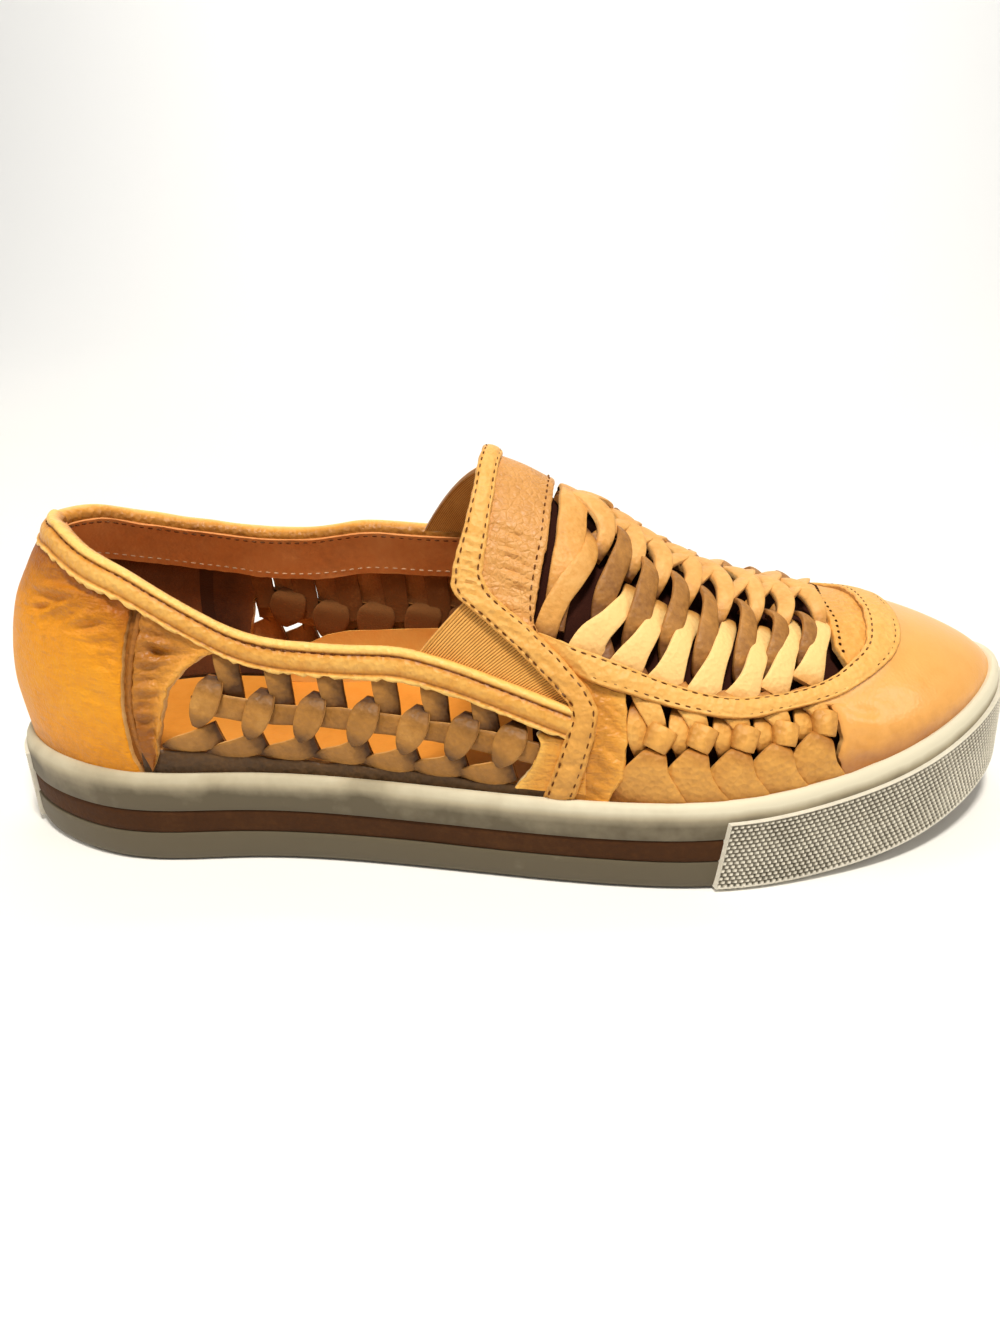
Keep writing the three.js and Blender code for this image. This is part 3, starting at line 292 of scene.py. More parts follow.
def fold(across):
    """A share across, counted from the nearer rim."""
    return np.where(np.asarray(across) > MIDDLE_AXIS, 1 - np.asarray(across), across)


# The collar's edge: its samples, how far they reach, passes towards its height from a first share
# across, the step that measures its slope, and how many samples are averaged to soften corners
COLLAR_SAMPLES = 320
COLLAR_REACH = 0.62
COLLAR_PASSES = 12
COLLAR_START = 0.25
COLLAR_STEP = 0.02
COLLAR_SOFT = 13


def collar_line(inner):
    """The collar's edge as samples of the share along, the share across and shares across per mm."""
    at = spread(np.linspace(0, COLLAR_REACH, COLLAR_SAMPLES))
    across = np.full_like(at, mirrored(COLLAR_START, inner))
    for _ in range(COLLAR_PASSES):
        height = INSTEP_HEIGHT * collar_edge[inner](last_point(at, across)[..., 0] / SHOE_LENGTH)
        across = across_at_height(at, height, inner)
    padded = np.pad(across, COLLAR_SOFT // 2, mode="edge")
    across = np.convolve(padded, np.ones(COLLAR_SOFT) / COLLAR_SOFT, "valid")
    step = COLLAR_STEP if inner else -COLLAR_STEP
    length = np.linalg.norm(last_point(at, across) - last_point(at, across + step), axis=-1)
    return at, across, step / length


COLLAR_LINE = {inner: collar_line(inner) for inner in (False, True)}


def below_collar(at, inner, distance):
    """The share across a distance in mm below the collar's edge."""
    samples, across, rate = COLLAR_LINE[inner]
    return np.interp(at, samples, across) + np.interp(at, samples, rate) * distance


THROAT_RANGE = (0.1, 0.3)


def throat_corner(inner):
    """The share across at which the strap's back edge meets the collar."""

    def under(share):
        point = last_point(saddle_back(share), mirrored(share, inner))
        return point[2] < INSTEP_HEIGHT * collar_edge[inner](point[0] / SHOE_LENGTH)

    return float(halved(*THROAT_RANGE, under))


# Mesh building: every piece is made of parts, each with its points in the part's own millimetres
Part = namedtuple("Part", "points faces look tone")
OUTER, INNER, CUT = range(3)


def strip_faces(rows, columns, closed=False):
    i = np.arange(rows - 1)[:, None]
    j = np.arange(columns if closed else columns - 1)[None, :]
    here = i * columns + j
    beside = i * columns + (j + 1) % columns
    return np.stack([here, beside, beside + columns, here + columns], -1).reshape(-1, 4)

WOBBLE_SHIFT = 17.3


def wobble(points, size, seed):
    """Smooth noise, about -1 to 1, with features of a size in mm."""
    flat = np.asarray(points, float).reshape(-1, 3) / size + seed * WOBBLE_SHIFT
    values = [noise.noise(Vector(p)) for p in flat]
    return 2 * np.array(values).reshape(np.shape(points)[:-1])


def uneven(at, across, size, seed):
    return wobble(last_point(at, across), size, seed)


def hill(distance, width):
    """A rounded bump: 1 where the distance is nothing, and falling off over a width."""
    return np.exp(-((distance / width) ** 2))


def travel(points):
    """The distance travelled at each point of a line."""
    return np.concatenate([[0], np.cumsum(np.linalg.norm(np.diff(points, axis=0), axis=-1))])


def open_grid(points, tone, closed=False):
    """A part of one face from a grid of points, which may close on itself."""
    faces = strip_faces(*points.shape[:2], closed=closed)
    return Part(points.reshape(-1, 3), faces, np.full(len(faces), OUTER), np.ravel(tone))


def closed_shell(top, bottom, tone, looks=(OUTER, INNER, CUT), backed=True):
    """A part from a top and a bottom grid of points, with walls round their border."""
    rows, columns = top.shape[:2]
    count = rows * columns
    grid = strip_faces(rows, columns)
    border = [
        np.arange(columns),
        np.arange(1, rows) * columns + columns - 1,
        (rows - 1) * columns + np.arange(columns - 2, -1, -1),
        np.arange(rows - 2, -1, -1) * columns,
    ]
    border = np.concatenate(border)
    here, following = border[:-1], border[1:]
    walls = np.stack([here, following, following + count, here + count], -1)
    behind = grid[:, ::-1] + count if backed else grid[:0]
    look = np.repeat(looks, [len(grid), len(behind), len(walls)])
    points = np.concatenate([top.reshape(-1, 3), bottom.reshape(-1, 3)])
    return Part(points, np.concatenate([grid, behind, walls]), look, np.tile(np.ravel(tone), 2))


# A rounded leather edge: mm from the border, and what share of the rounding is left there
EDGE = table("distance drop", (0, 1), (0.12, 0.55), (0.35, 0.2), (0.7, 0.03), (1.1, 0))


def graded(length, steps, start, end):
    """Shares from 0 to 1 with close rows where a border is rounded, and the drop at each."""
    distances = EDGE["distance"] / length
    first = distances[-1] if start else -1
    last = 1 - distances[-1] if end else 2
    made = {share for share in np.linspace(0, 1, steps + 1) if first < share < last}
    made |= set(distances) if start else {0.0}
    made |= set(1 - distances) if end else {1.0}
    made = np.array(sorted(made))
    drop = np.zeros_like(made)
    if start:
        drop = np.maximum(drop, np.interp(made, distances, EDGE["drop"]))
    if end:
        drop = np.maximum(drop, np.interp(1 - made, distances, EDGE["drop"]))
    return made, drop


def length_of(place, along_u):
    """The length in mm of a sheet's middle line, along u or along v."""
    share = np.linspace(0, 1, 40)
    middle = np.full_like(share, MIDDLE_AXIS)
    return travel(last_point(*(place(share, middle) if along_u else place(middle, share))))[-1]


EDGE_ROUND = 0.7
# A hand-cut edge: size of its wobble in mm, and how much of it the rows beside the border take
FRAY_SIZE = 2.2
FRAY_ROWS = (1, 0.8, 0.5)


def fray(face, amount, rounded, seed):
    """Pushes a sheet's border in and out a little, as a hand-cut edge is."""
    for axis, index, inward, on in ((0, 0, 3, 0), (0, -1, -4, 1), (1, 0, 3, 2), (1, -1, -4, 3)):
        if not rounded[on]:
            continue
        edge = np.take(face, index, axis)
        inside = np.take(face, inward, axis)
        push = unit(edge - inside) * (wobble(edge, FRAY_SIZE, seed) * amount)[:, None]
        for step, share in enumerate(FRAY_ROWS):
            row = index + step if index == 0 else index - step
            np.moveaxis(face, axis, 0)[row] += push * share


def sheet(
    place, steps, low, high, rounded=(1, 1, 1, 1), relief=None, creased=(), rough=None, ragged=0.0,
    follow=0.0, tone=None, seed=1,
):
    """A leather sheet: place(u, v) gives its shares along and across, low and high its faces in mm.

    relief and tone take the shares and u, v; creased is a table of creases; rough is the depth and
    the size in mm of its unevenness, and the seed; follow is the share of all that the back takes.
    """
    u, u_drop = graded(length_of(place, True), steps[0], *rounded[:2])
    v, v_drop = graded(length_of(place, False), steps[1], *rounded[2:])
    share_u, share_v = np.meshgrid(u, v, indexing="ij")
    at, across = np.broadcast_arrays(*place(share_u, share_v))
    raised = crease_relief(creased, at, across)
    if relief:
        raised = raised + relief(at, across, share_u, share_v)
    if rough:
        raised = raised + rough[0] * uneven(at, across, *rough[1:])
    drop = np.maximum(u_drop[:, None], v_drop[None, :]) * EDGE_ROUND
    top = skin(at, across, high - drop + raised)
    bottom = skin(at, across, low + follow * raised)
    if ragged:
        for face in (top, bottom):
            fray(face, ragged, rounded, seed)
    shade = tone(at, across, share_u, share_v) if tone else 0
    return closed_shell(top, bottom, shade + np.zeros_like(at))


Crease = namedtuple("Crease", "at across at_end across_end width depth bow")
GIRTH = 240
CREASE_DEPTH = 1.6
CREASE_FADE = (0.08, 0.92)


def crease_relief(rows, at, across):
    """Troughs and ridges, given on the outer side and mirrored to the inner one."""
    scale = np.array([LAST_LENGTH, GIRTH])
    place = np.stack(np.broadcast_arrays(at, fold(across)), -1) * scale
    total = np.zeros(place.shape[:-1])
    for line in (Crease(*row) for row in rows):
        start = np.array([line.at, line.across]) * scale
        run = np.array([line.at_end, line.across_end]) * scale - start
        share = np.clip((place - start) @ run / (run @ run), 0, 1)
        aside = np.array([-run[1], run[0]]) / np.linalg.norm(run)
        bow = line.bow * np.sin(np.pi * share)
        gap = place - start - share[..., None] * run - bow[..., None] * aside
        near = np.exp(-(gap**2).sum(-1) / line.width**2)
        total += CREASE_DEPTH * line.depth * near * np.sin(np.pi * np.clip(share, *CREASE_FADE))
    return total


# Section of a woven strip, from one edge to the other: share of its half width, and crown drop
SECTION = table(
    "side drop",
    (-1, 1), (-0.97, 0.45), (-0.88, 0.12), (-0.6, 0), (-0.2, 0), (0.2, 0), (0.6, 0), (0.88, 0.12),
    (0.97, 0.45), (1, 1),
)
STRIP_THICKNESS = 1.3
STRIP_ROUND = 0.36
STRIP_UNDER_ROUND = 0.6
STRIP_CUP = 0.25
# The strip's width varies by a share, over a size in mm
FLARE = 0.05
FLARE_SIZE = 6
# A strip darkens where it dives below a lift, over a depth in mm, and towards its ends
DIVE_FROM = 0.8
DIVE_DEPTH = 2.5
DIVE_SHADE = 0.5
END_REACH = 5
END_SHADE = 0.4


def share_steps(direction, at, across):
    """How much the two shares change for each mm in a direction along the last."""
    per_at = (last_point(at + SMALL, across) - last_point(at - SMALL, across)) / (2 * SMALL)
    per_across = (last_point(at, across + SMALL) - last_point(at, across - SMALL)) / (2 * SMALL)
    aa = (per_at * per_at).sum(-1)
    bb = (per_across * per_across).sum(-1)
    ab = (per_at * per_across).sum(-1)
    along = (direction * per_at).sum(-1)
    over = (direction * per_across).sum(-1)
    spare = aa * bb - ab * ab
    return (along * bb - over * ab) / spare, (over * aa - along * ab) / spare


def ribbon(knots, thickness=STRIP_THICKNESS, axis=None, samples=22, cup=STRIP_CUP, tone=0.0, seed=0):
    """A flat leather strip over the last through knots of (at, across, width, lift, roll) in mm."""
    rows = np.array(knots, float)
    if axis is not None:
        rows[:, 1] = 2 * axis - rows[:, 1]
        rows[:, 4] = -rows[:, 4]
    travelled = travel(last_point(rows[:, 0], rows[:, 1]))
    fine = np.linspace(0, travelled[-1], samples)
    at, across, width, lift, roll = (natural_spline(travelled, column)(fine) for column in rows.T)
    centre = last_point(at, across)
    side = unit(np.cross(last_normal(at, across), unit(np.gradient(centre, axis=0))))
    step_at, step_across = share_steps(side, at, across)
    flare = 1 + FLARE * wobble(centre, FLARE_SIZE, seed)
    section = SECTION["side"][None, :]
    reach = section * (width / 2 * flare)[:, None]
    lifted = lift[:, None] + roll[:, None] * section - cup * section**2
    round_by = np.minimum(STRIP_ROUND, thickness / 2) * SECTION["drop"][None, :]
    where = at[:, None] + reach * step_at[:, None], across[:, None] + reach * step_across[:, None]
    upper = skin(*where, lifted - round_by)
    under = skin(*where, lifted - thickness + round_by * STRIP_UNDER_ROUND)
    ends = np.minimum(fine, travelled[-1] - fine)[:, None]
    dive = np.clip((DIVE_FROM - lifted) / DIVE_DEPTH, 0, 1) * DIVE_SHADE
    low = dive + np.clip(1 - ends / END_REACH, 0, 1) * END_SHADE
    return closed_shell(upper, under, np.clip(tone - low, -1, 1))


STITCH_LENGTH = 1.5
STITCH_PITCH = 2.6
STITCH_RADIUS = 0.24
STITCH_LOOK = 0.3
BEAD_RINGS = table("along radius", (-1, 0.05), (-0.85, 0.6), (-0.4, 1), (0.4, 1), (0.85, 0.6), (1, 0.05))
BEAD_SIDES = 6


def stitches(at, across, lift, pitch=STITCH_PITCH, length=STITCH_LENGTH, radius=STITCH_RADIUS, tone=0.0):
    """A row of stitches along a line of shares over the last, each a short rounded thread."""
    travelled = travel(last_point(at, across))
    middles = np.arange(pitch / 2, travelled[-1] - pitch / 2, pitch)

    def on_line(distance):
        return np.interp(distance, travelled, at), np.interp(distance, travelled, across)

    here = on_line(middles)
    run = unit(last_point(*on_line(middles + STITCH_LOOK)) - last_point(*on_line(middles - STITCH_LOOK)))
    normal = last_normal(*here)
    side = unit(np.cross(normal, run))[:, None, None, :]
    turn = np.linspace(0, 2 * np.pi, BEAD_SIDES, endpoint=False)[None, None, :, None]
    around = np.cos(turn) * side + np.sin(turn) * normal[:, None, None, :]
    ring = around * (BEAD_RINGS["radius"] * radius)[None, :, None, None]
    along = (BEAD_RINGS["along"] * length / 2)[None, :, None, None] * run[:, None, None, :]
    beads = (skin(*here, lift)[:, None, None, :] + along + ring).reshape(-1, 3)
    one = strip_faces(len(BEAD_RINGS["along"]), BEAD_SIDES, closed=True)
    firsts = np.arange(len(middles)) * len(BEAD_RINGS["along"]) * BEAD_SIDES
    faces = (one[None] + firsts[:, None, None]).reshape(-1, 4)
    return Part(beads, faces, np.full(len(faces), OUTER), np.full(len(beads), tone))


CREASE_ANGLE = 45
MERGE_DISTANCE = 0.000002


def make_piece(name, parts, looks, nodes=(), crease_angle=CREASE_ANGLE):
    """One object from parts; looks are its materials, and nodes are the CAD nodes that it replaces."""
    starts = np.cumsum([0] + [len(part.points) for part in parts])
    faces = np.concatenate([part.faces + start for part, start in zip(parts, starts)])
    look = np.concatenate([part.look for part in parts])
    points = (np.concatenate([part.points for part in parts]) + FRAME_SHIFT) * MILLIMETRE
    tone = np.concatenate([part.tone for part in parts])
    mesh = bpy.data.meshes.new(name)
    mesh.from_pydata(points.tolist(), [], faces.tolist())
    mesh.polygons.foreach_set("material_index", look.astype(np.int32))
    mesh.attributes.new("tone", "FLOAT", "POINT").data.foreach_set("value", tone.astype(np.float32))
    shaped = bmesh.new()
    shaped.from_mesh(mesh)
    bmesh.ops.remove_doubles(shaped, verts=shaped.verts, dist=MERGE_DISTANCE)
    bmesh.ops.recalc_face_normals(shaped, faces=shaped.faces)
    shaped.to_mesh(mesh)
    shaped.free()
    mesh.shade_smooth()
    mesh.set_sharp_from_angle(angle=math.radians(crease_angle))
    for one in looks:
        mesh.materials.append(one)
    piece = bpy.data.objects.new(name, mesh)
    bpy.context.scene.collection.objects.link(piece)
    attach(piece, "root")
    if nodes:
        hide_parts(*nodes)
    return piece


def both_sides(make):
    """What a maker gives for the outer and the inner side, as one list of parts."""
    made = [make(inner) for inner in (False, True)]
    return [part for parts in made for part in (parts if isinstance(parts, list) else [parts])]


# Materials
def srgb(code):
    """A linear colour from the six hexadecimal digits of a screen colour."""
    shares = [int(code[i : i + 2], 16) / 255 for i in (0, 2, 4)]
    linear = [s / 12.92 if s <= 0.04045 else ((s + 0.055) / 1.055) ** 2.4 for s in shares]
    return (*linear, 1)


def add_node(tree, kind, inputs, **settings):
    """A node with its settings; each input gets a value or a link from a socket."""
    made = tree.nodes.new(kind)
    for name, value in settings.items():
        setattr(made, name, value)
    for key, value in inputs.items():
        if isinstance(value, bpy.types.NodeSocket):
            tree.links.new(value, made.inputs[key])
        else:
            made.inputs[key].default_value = value
    return made


def noise_share(tree, place, size, detail):
    """Noise with features of a size in mm."""
    scale = 1 / (size * MILLIMETRE)
    inputs = {"Detail": detail, "Roughness": NOISE_ROUGHNESS, "Scale": scale, "Vector": place}
    return add_node(tree, "ShaderNodeTexNoise", inputs).outputs["Fac"]


def multiply_add(tree, value, by, plus, clamp=False):
    inputs = {0: value, 1: by, 2: plus}
    return add_node(tree, "ShaderNodeMath", inputs, operation="MULTIPLY_ADD", use_clamp=clamp).outputs[0]


def grain_height(tree, place, kind, size):
    """The height of one kind of grain, with features of a size in mm."""
    cells = {"Scale": 1 / (size * MILLIMETRE), "Vector": place}
    if kind == "cells":
        cells["Smoothness"] = CELL_SOFTNESS
        return add_node(tree, "ShaderNodeTexVoronoi", cells, feature="SMOOTH_F1").outputs["Distance"]
    if kind == "cracks":
        source = add_node(tree, "ShaderNodeTexVoronoi", cells, feature="DISTANCE_TO_EDGE")
        inputs = {"From Max": CRACK_WIDTH, "Value": source.outputs["Distance"]}
        return add_node(tree, "ShaderNodeMapRange", inputs, interpolation_type="SMOOTHSTEP").outputs["Result"]
    if kind == "folds":
        inputs = {"Scale": FOLD_STRETCH, "Rotation": FOLD_TURN, "Vector": place}
        place = add_node(tree, "ShaderNodeMapping", inputs).outputs["Vector"]
        return noise_share(tree, place, size, FEW_OCTAVES)
    return noise_share(tree, place, size, MANY_OCTAVES)


def coloured(tree, share, colours):
    """The colour at a share, from deep to pale."""
    ramp = add_node(tree, "ShaderNodeValToRGB", {"Fac": share})
    deep, middle, pale = (srgb(code) for code in colours.split())
    stops = ramp.color_ramp.elements
    stops[0].position = RAMP_DEEP
    stops[0].color = deep
    stops[1].position = RAMP_PALE
    stops[1].color = pale
    stops.new(RAMP_MIDDLE).color = middle
    return ramp.outputs["Color"]


def surface(name, colours, mottle, roughness, bumps, sheen=0.0, specular=0.35, rough_spread=0.1):
    """A procedural finish: colours run from deep to pale, bumps are (kind, size mm, depth mm, strength)."""
    material = bpy.data.materials.new(name)
    material.use_nodes = True
    tree = material.node_tree
    tree.nodes.clear()
    place = add_node(tree, "ShaderNodeTexCoord", {}).outputs["Object"]
    broad = noise_share(tree, place, mottle, SOME_OCTAVES)
    fine = noise_share(tree, place, mottle / MOTTLE_STEP, FEW_OCTAVES)
    share = multiply_add(tree, broad, BROAD_SHARE * MOTTLE, (1 - MOTTLE) / 2)
    share = multiply_add(tree, fine, (1 - BROAD_SHARE) * MOTTLE, share)
    # the mesh's tone: mostly painted shade and painted highlight, mixed into the colour
    tone = add_node(tree, "ShaderNodeAttribute", {}, attribute_name="tone").outputs["Fac"]
    share = multiply_add(tree, tone, TONE_GAIN, share, clamp=True)
    inputs = {"To Min": roughness - rough_spread, "To Max": roughness + rough_spread, "Value": fine}
    inputs = {
        "Specular IOR Level": specular,
        "Sheen Weight": sheen,
        "Base Color": coloured(tree, share, colours),
        "Roughness": add_node(tree, "ShaderNodeMapRange", inputs).outputs["Result"],
    }
    normal = {}
    for kind, size, depth, strength in bumps:
        height = grain_height(tree, place, kind, size)
        bump = {"Distance": depth * MILLIMETRE, "Strength": strength, "Height": height}
        normal = {"Normal": add_node(tree, "ShaderNodeBump", bump | normal).outputs["Normal"]}
    shader = add_node(tree, "ShaderNodeBsdfPrincipled", inputs | normal)
    add_node(tree, "ShaderNodeOutputMaterial", {"Surface": shader.outputs["BSDF"]})
    return material


# Share of the mottling's full range that shows, how much of it is broad, how much finer the fine part is, how
# much a mesh's tone adds (mostly painted shade and painted highlight, besides the sole's scuffs), and the
# places of the three colours
MOTTLE = 0.45
BROAD_SHARE = 0.55
MOTTLE_STEP = 9
TONE_GAIN = 0.6
RAMP_DEEP = 0.22
RAMP_MIDDLE = 0.5
RAMP_PALE = 0.78
NOISE_ROUGHNESS = 0.55
FEW_OCTAVES = 3
SOME_OCTAVES = 4
MANY_OCTAVES = 6
CELL_SOFTNESS = 0.35
CRACK_WIDTH = 0.25
# Folds run along the shoe and fall a little towards the toe
FOLD_STRETCH = (1.0, 1.0, 3.4)
FOLD_TURN = (0, math.radians(-18), 0)
GRAIN = [("cells", 1.5, 0.5, 0.8), ("noise", 0.6, 0.18, 0.6), ("noise", 6, 0.5, 0.3)]
HEAVY_GRAIN = [
    ("cracks", 2.1, 0.22, 0.4), ("cells", 1.1, 0.25, 0.5), ("folds", 6, 1.2, 0.6), ("noise", 5, 0.6, 0.3),
]
PEBBLES = [("cracks", 1.9, 0.3, 0.5), ("cells", 1.0, 0.25, 0.5), ("folds", 8, 0.8, 0.4)]
PORES = [("cells", 0.8, 0.22, 0.6), ("folds", 5, 1.1, 0.6), ("noise", 3, 0.5, 0.35)]
SMOOTH_GRAIN = [("cells", 0.9, 0.12, 0.45)]
STRIP_GRAIN = [("cells", 1.2, 0.3, 0.6), ("noise", 0.5, 0.12, 0.5), ("noise", 4, 0.7, 0.4)]
NAP = [("noise", 0.45, 0.25, 0.8), ("noise", 2.5, 0.3, 0.5)]

tan = surface("tan_leather", "a06424 e2a44e f6c674", 26, 0.5, GRAIN)
tan_strip = surface("strip_leather", "7a4c20 d89a4c fcce84", 18, 0.5, STRIP_GRAIN)
tan_heavy = surface("creased_leather", "965816 da9436 eeb456", 22, 0.42, HEAVY_GRAIN)
panel_tan = surface("panel_leather", "965c24 d29650 eeba72", 22, 0.45, PEBBLES)
collar_tan = surface("collar_leather", "824a12 d69034 faca70", 22, 0.42, GRAIN)
tan_smooth = surface("smooth_leather", "b06e2c eaa856 f4bc6e", 40, 0.33, SMOOTH_GRAIN, specular=0.55)
heel_tan = surface("heel_leather", "a05808 e89616 f6b02c", 24, 0.45, PORES, specular=0.3)
cut_edge = surface("cut_edge", "96602c dea862 f8d89c", 3, 0.85, NAP, specular=0.2)
dark_edge = surface("rough_edge", "543016 9e6630 dca862", 2.4, 0.88, NAP, specular=0.2)
suede = surface("suede", "462612 784a26 a47040", 7, 0.92, NAP, sheen=0.25, specular=0.15)
# Dark leather for the band along the sole: partly the band's own colour, partly painted shade of the overhung
# band
base_leather_and_painted_shade = surface("base_leather_and_painted_shade", "422c16 74522c a07644", 16, 0.5, GRAIN)
# A darker copy of the strip leather for the quarter's weave: painted shade of the quarter's side
quarter_strip_painted_shade = surface("quarter_strip_painted_shade", "543414 b07a36 e8b05e", 18, 0.5, STRIP_GRAIN)
# A paler copy of the suede: painted light on the weave's faces seen inside the shoe
inner_suede_painted_light = surface("inner_suede_painted_light", "7c4e28 be824a e2ac6e", 7, 0.92, NAP, specular=0.15)
# Near-black cloth for the forefoot's lining: partly the lining's own colour, partly painted shade of the
# shoe's inside seen through the weave
lining_cloth_and_painted_shade = surface("lining_cloth_and_painted_shade", "220e0a 3a1c14 4c2a1e", 9, 0.95, NAP, specular=0.1)
facing = surface("facing_leather", "a05c2e e29656 f4b470", 16, 0.55, SMOOTH_GRAIN)
# The thread's dark brown is partly its own colour and partly painted shade of the holes that the stitches
# sink into
thread = surface("thread", "3e1e0a 623614 e2be96", 3, 0.9, [("noise", 0.3, 0.1, 0.5)], specular=0.1)
rubber = surface(
    "rubber", "625844 b6aa8e e0d8be", 60, 0.55, [("noise", 1.2, 0.08, 0.35)], rough_spread=0.06,
)
bumper_rubber = surface(
    "bumper_rubber", "706858 cec7b6 f0eada", 18, 0.55, [("noise", 0.8, 0.06, 0.3)], rough_spread=0.05,
)
stripe_leather = surface(
    "stripe_leather", "2c1608 482a12 684424", 14, 0.7,
    [("noise", 1.5, 0.25, 0.7), ("cells", 0.9, 0.1, 0.4)], specular=0.15,
)
insole_leather = surface("insole_leather", "c8741e ec9838 f4ae54", 30, 0.5, SMOOTH_GRAIN)
# A paler copy of the insole's leather: painted light on the arch, which lies in shade inside the shoe
arch_leather_painted_light = surface("arch_leather_painted_light", "f0963c fec468 fed688", 30, 0.5, SMOOTH_GRAIN)
elastic = surface(
    "elastic", "8a5a24 dc9e4c f4c06c", 5, 0.85, [("noise", 0.35, 0.12, 0.7)], sheen=0.2, specular=0.2,
)
LEATHER = [tan, suede, cut_edge]
HEAVY_LEATHER = [tan_heavy, suede, cut_edge]


# The sole: its side from the floor over the rim, as shares of the height and mm inwards
SIDE = table(
    "up inset",
    (0, 1.9), (0.012, 1.2), (0.035, 0.55), (0.07, 0.2), (0.12, 0.02), (0.2, 0), (0.27, 0), (0.325, 0),
    (0.337, 0.12), (0.342, 0.5), (0.345, 1.5), (0.4, 1.5), (0.54, 1.5), (0.595, 1.5), (0.598, 0.5),
    (0.603, 0.12), (0.615, 0), (0.68, 0), (0.76, 0), (0.83, 0.02), (0.88, 0.15), (0.925, 0.4), (0.96, 0.85),
    (0.985, 1.4), (1.0, 2.1), (0.995, 2.9), (0.97, 3.7), (0.9, 4.6), (0.8, 5.2),
)
OUTLINE_STEPS = 150
TREAD_ZONES = ((0.1, 0.3), (0.5, 0.72))
TREAD_REACH = 0.72
UNDER_COLUMNS = 61
TREAD_SLOPE = 0.5
UNDER_TONE = -0.3
# Tones of the side by height (painted shade), of its rim's top by length (a painted highlight, strongest
# towards the toe), of the stripe's groove (painted shade) and of the scuffs
SIDE_PAINTED_SHADE = table("up tone", (0, -0.8), (0.1, -0.55), (0.5, -0.5), (0.8, -0.4))
RIM_PAINTED_HIGHLIGHT = table("at tone", (0.4, 0.55), (0.8, 1.0))
RIM_FROM = 0.8
RIM_FADE = 0.13
GROOVE_INSET = 0.4
GROOVE_RANGE = (0.3, 0.7)
GROOVE_PAINTED_SHADE = -0.7
SCUFF_SIZE = 14
SCUFF_LEAST = 0.25


def sole_point(up, inset, at, side):
    """A point of the sole's side: side is -1 on the outer and 1 on the inner side of the foot."""
    along = lerp(inset, SHOE_LENGTH - inset, at)
    share = along / SHOE_LENGTH
    z = lerp(underside(share), rim_height(share), up)
    y = centre_line(share) + side * half_width(at, inset)
    along, y, z = np.broadcast_arrays(along, y, z)
    return np.stack([along, y, z], -1)


def outline(from_at, to_at, steps):
    """Shares along and sides, once round the outline or round one end of it."""
    start, end = unspread(np.array(from_at)), unspread(np.array(to_at))
    half = spread(np.linspace(start, end, steps + 1))
    if from_at == 0 and to_at == 1:
        sides = np.concatenate([-np.ones(steps + 1), np.ones(steps - 1)])
        return np.concatenate([half, half[-2:0:-1]]), sides
    if to_at == 1:
        return np.concatenate([half, half[-2::-1]]), np.concatenate([-np.ones(steps + 1), np.ones(steps)])
    return np.concatenate([half[::-1], half[1:]]), np.concatenate([np.ones(steps + 1), -np.ones(steps)])


def sole_side():
    at, side = outline(0, 1, OUTLINE_STEPS)
    at, side = at[None, :], side[None, :]
    up, inset = SIDE["up"][:, None], SIDE["inset"][:, None]
    rows = sole_point(up, inset, at, side)
    scuff = np.clip(wobble(rows, SCUFF_SIZE, 3) - SCUFF_LEAST, 0, 1) * -SCUFF_LEAST
    # painted shade on the side, darker towards the floor, a painted highlight on the rim's top and painted
    # shade in the stripe's groove
    low = np.interp(up, SIDE_PAINTED_SHADE["up"], SIDE_PAINTED_SHADE["tone"])
    rim = np.clip((up - RIM_FROM) / RIM_FADE, 0, 1) * np.interp(at, RIM_PAINTED_HIGHLIGHT["at"], RIM_PAINTED_HIGHLIGHT["tone"])
    grooved = (inset > GROOVE_INSET) & (up > GROOVE_RANGE[0]) & (up < GROOVE_RANGE[1])
    return open_grid(rows, scuff + low + rim + GROOVE_PAINTED_SHADE * grooved, closed=True)


def sole_underside():
    along = spread(np.linspace(0, 1, 2 * OUTLINE_STEPS + 1))
    first = SIDE["inset"][0]
    x = lerp(first, SHOE_LENGTH - first, along)[:, None]
    middle = centre_line(x / SHOE_LENGTH)
    y = middle + half_width(along, first)[:, None] * np.linspace(-1, 1, UNDER_COLUMNS)[None, :]
    z = underside(x / SHOE_LENGTH) + np.zeros_like(y)
    beside = np.abs(y - middle) / (TREAD_REACH * half_width(x / SHOE_LENGTH, 0))
    for from_at, to_at in TREAD_ZONES:
        past = x - from_at * SHOE_LENGTH
        phase = np.mod(past - TREAD_PITCH / 2 * (1 - beside), TREAD_PITCH)
        inside = (past > 0) & (x < to_at * SHOE_LENGTH) & (beside < 1)
        cut = np.clip(np.minimum(phase, TREAD_GROOVE - phase) / TREAD_SLOPE, 0, 1)
        z = z + TREAD_DEPTH * cut * inside
    return open_grid(np.stack(np.broadcast_arrays(x, y, z), -1), np.full(z.shape, UNDER_TONE))


def side_band(from_at, to_at, low, high, out, steps, rows, relief, bottom, backed=True, slant=0.0):
    """A band on the sole's side; relief gives its face's height and tone at (mm along, mm up)."""
    at, side = outline(from_at, to_at, steps)
    travelled = travel(sole_point((low + high) / 2, 0, at, side))
    up = np.linspace(low, high, rows)
    tall = (up - low) * SOLE_HEIGHT
    height, tone = relief(travelled[:, None], tall[None, :], travelled[-1], tall[-1])
    share = (1 - (at[:, None] - from_at) / (to_at - from_at)) * (high - up[None, :]) / (high - low)
    leaning = at[:, None] - slant * share
    face = sole_point(up[None, :], -(out + height), leaning, side[:, None])
    back = sole_point(up[None, :], -bottom + 0 * height, leaning, side[:, None])
    return closed_shell(face, back, tone, backed=backed)


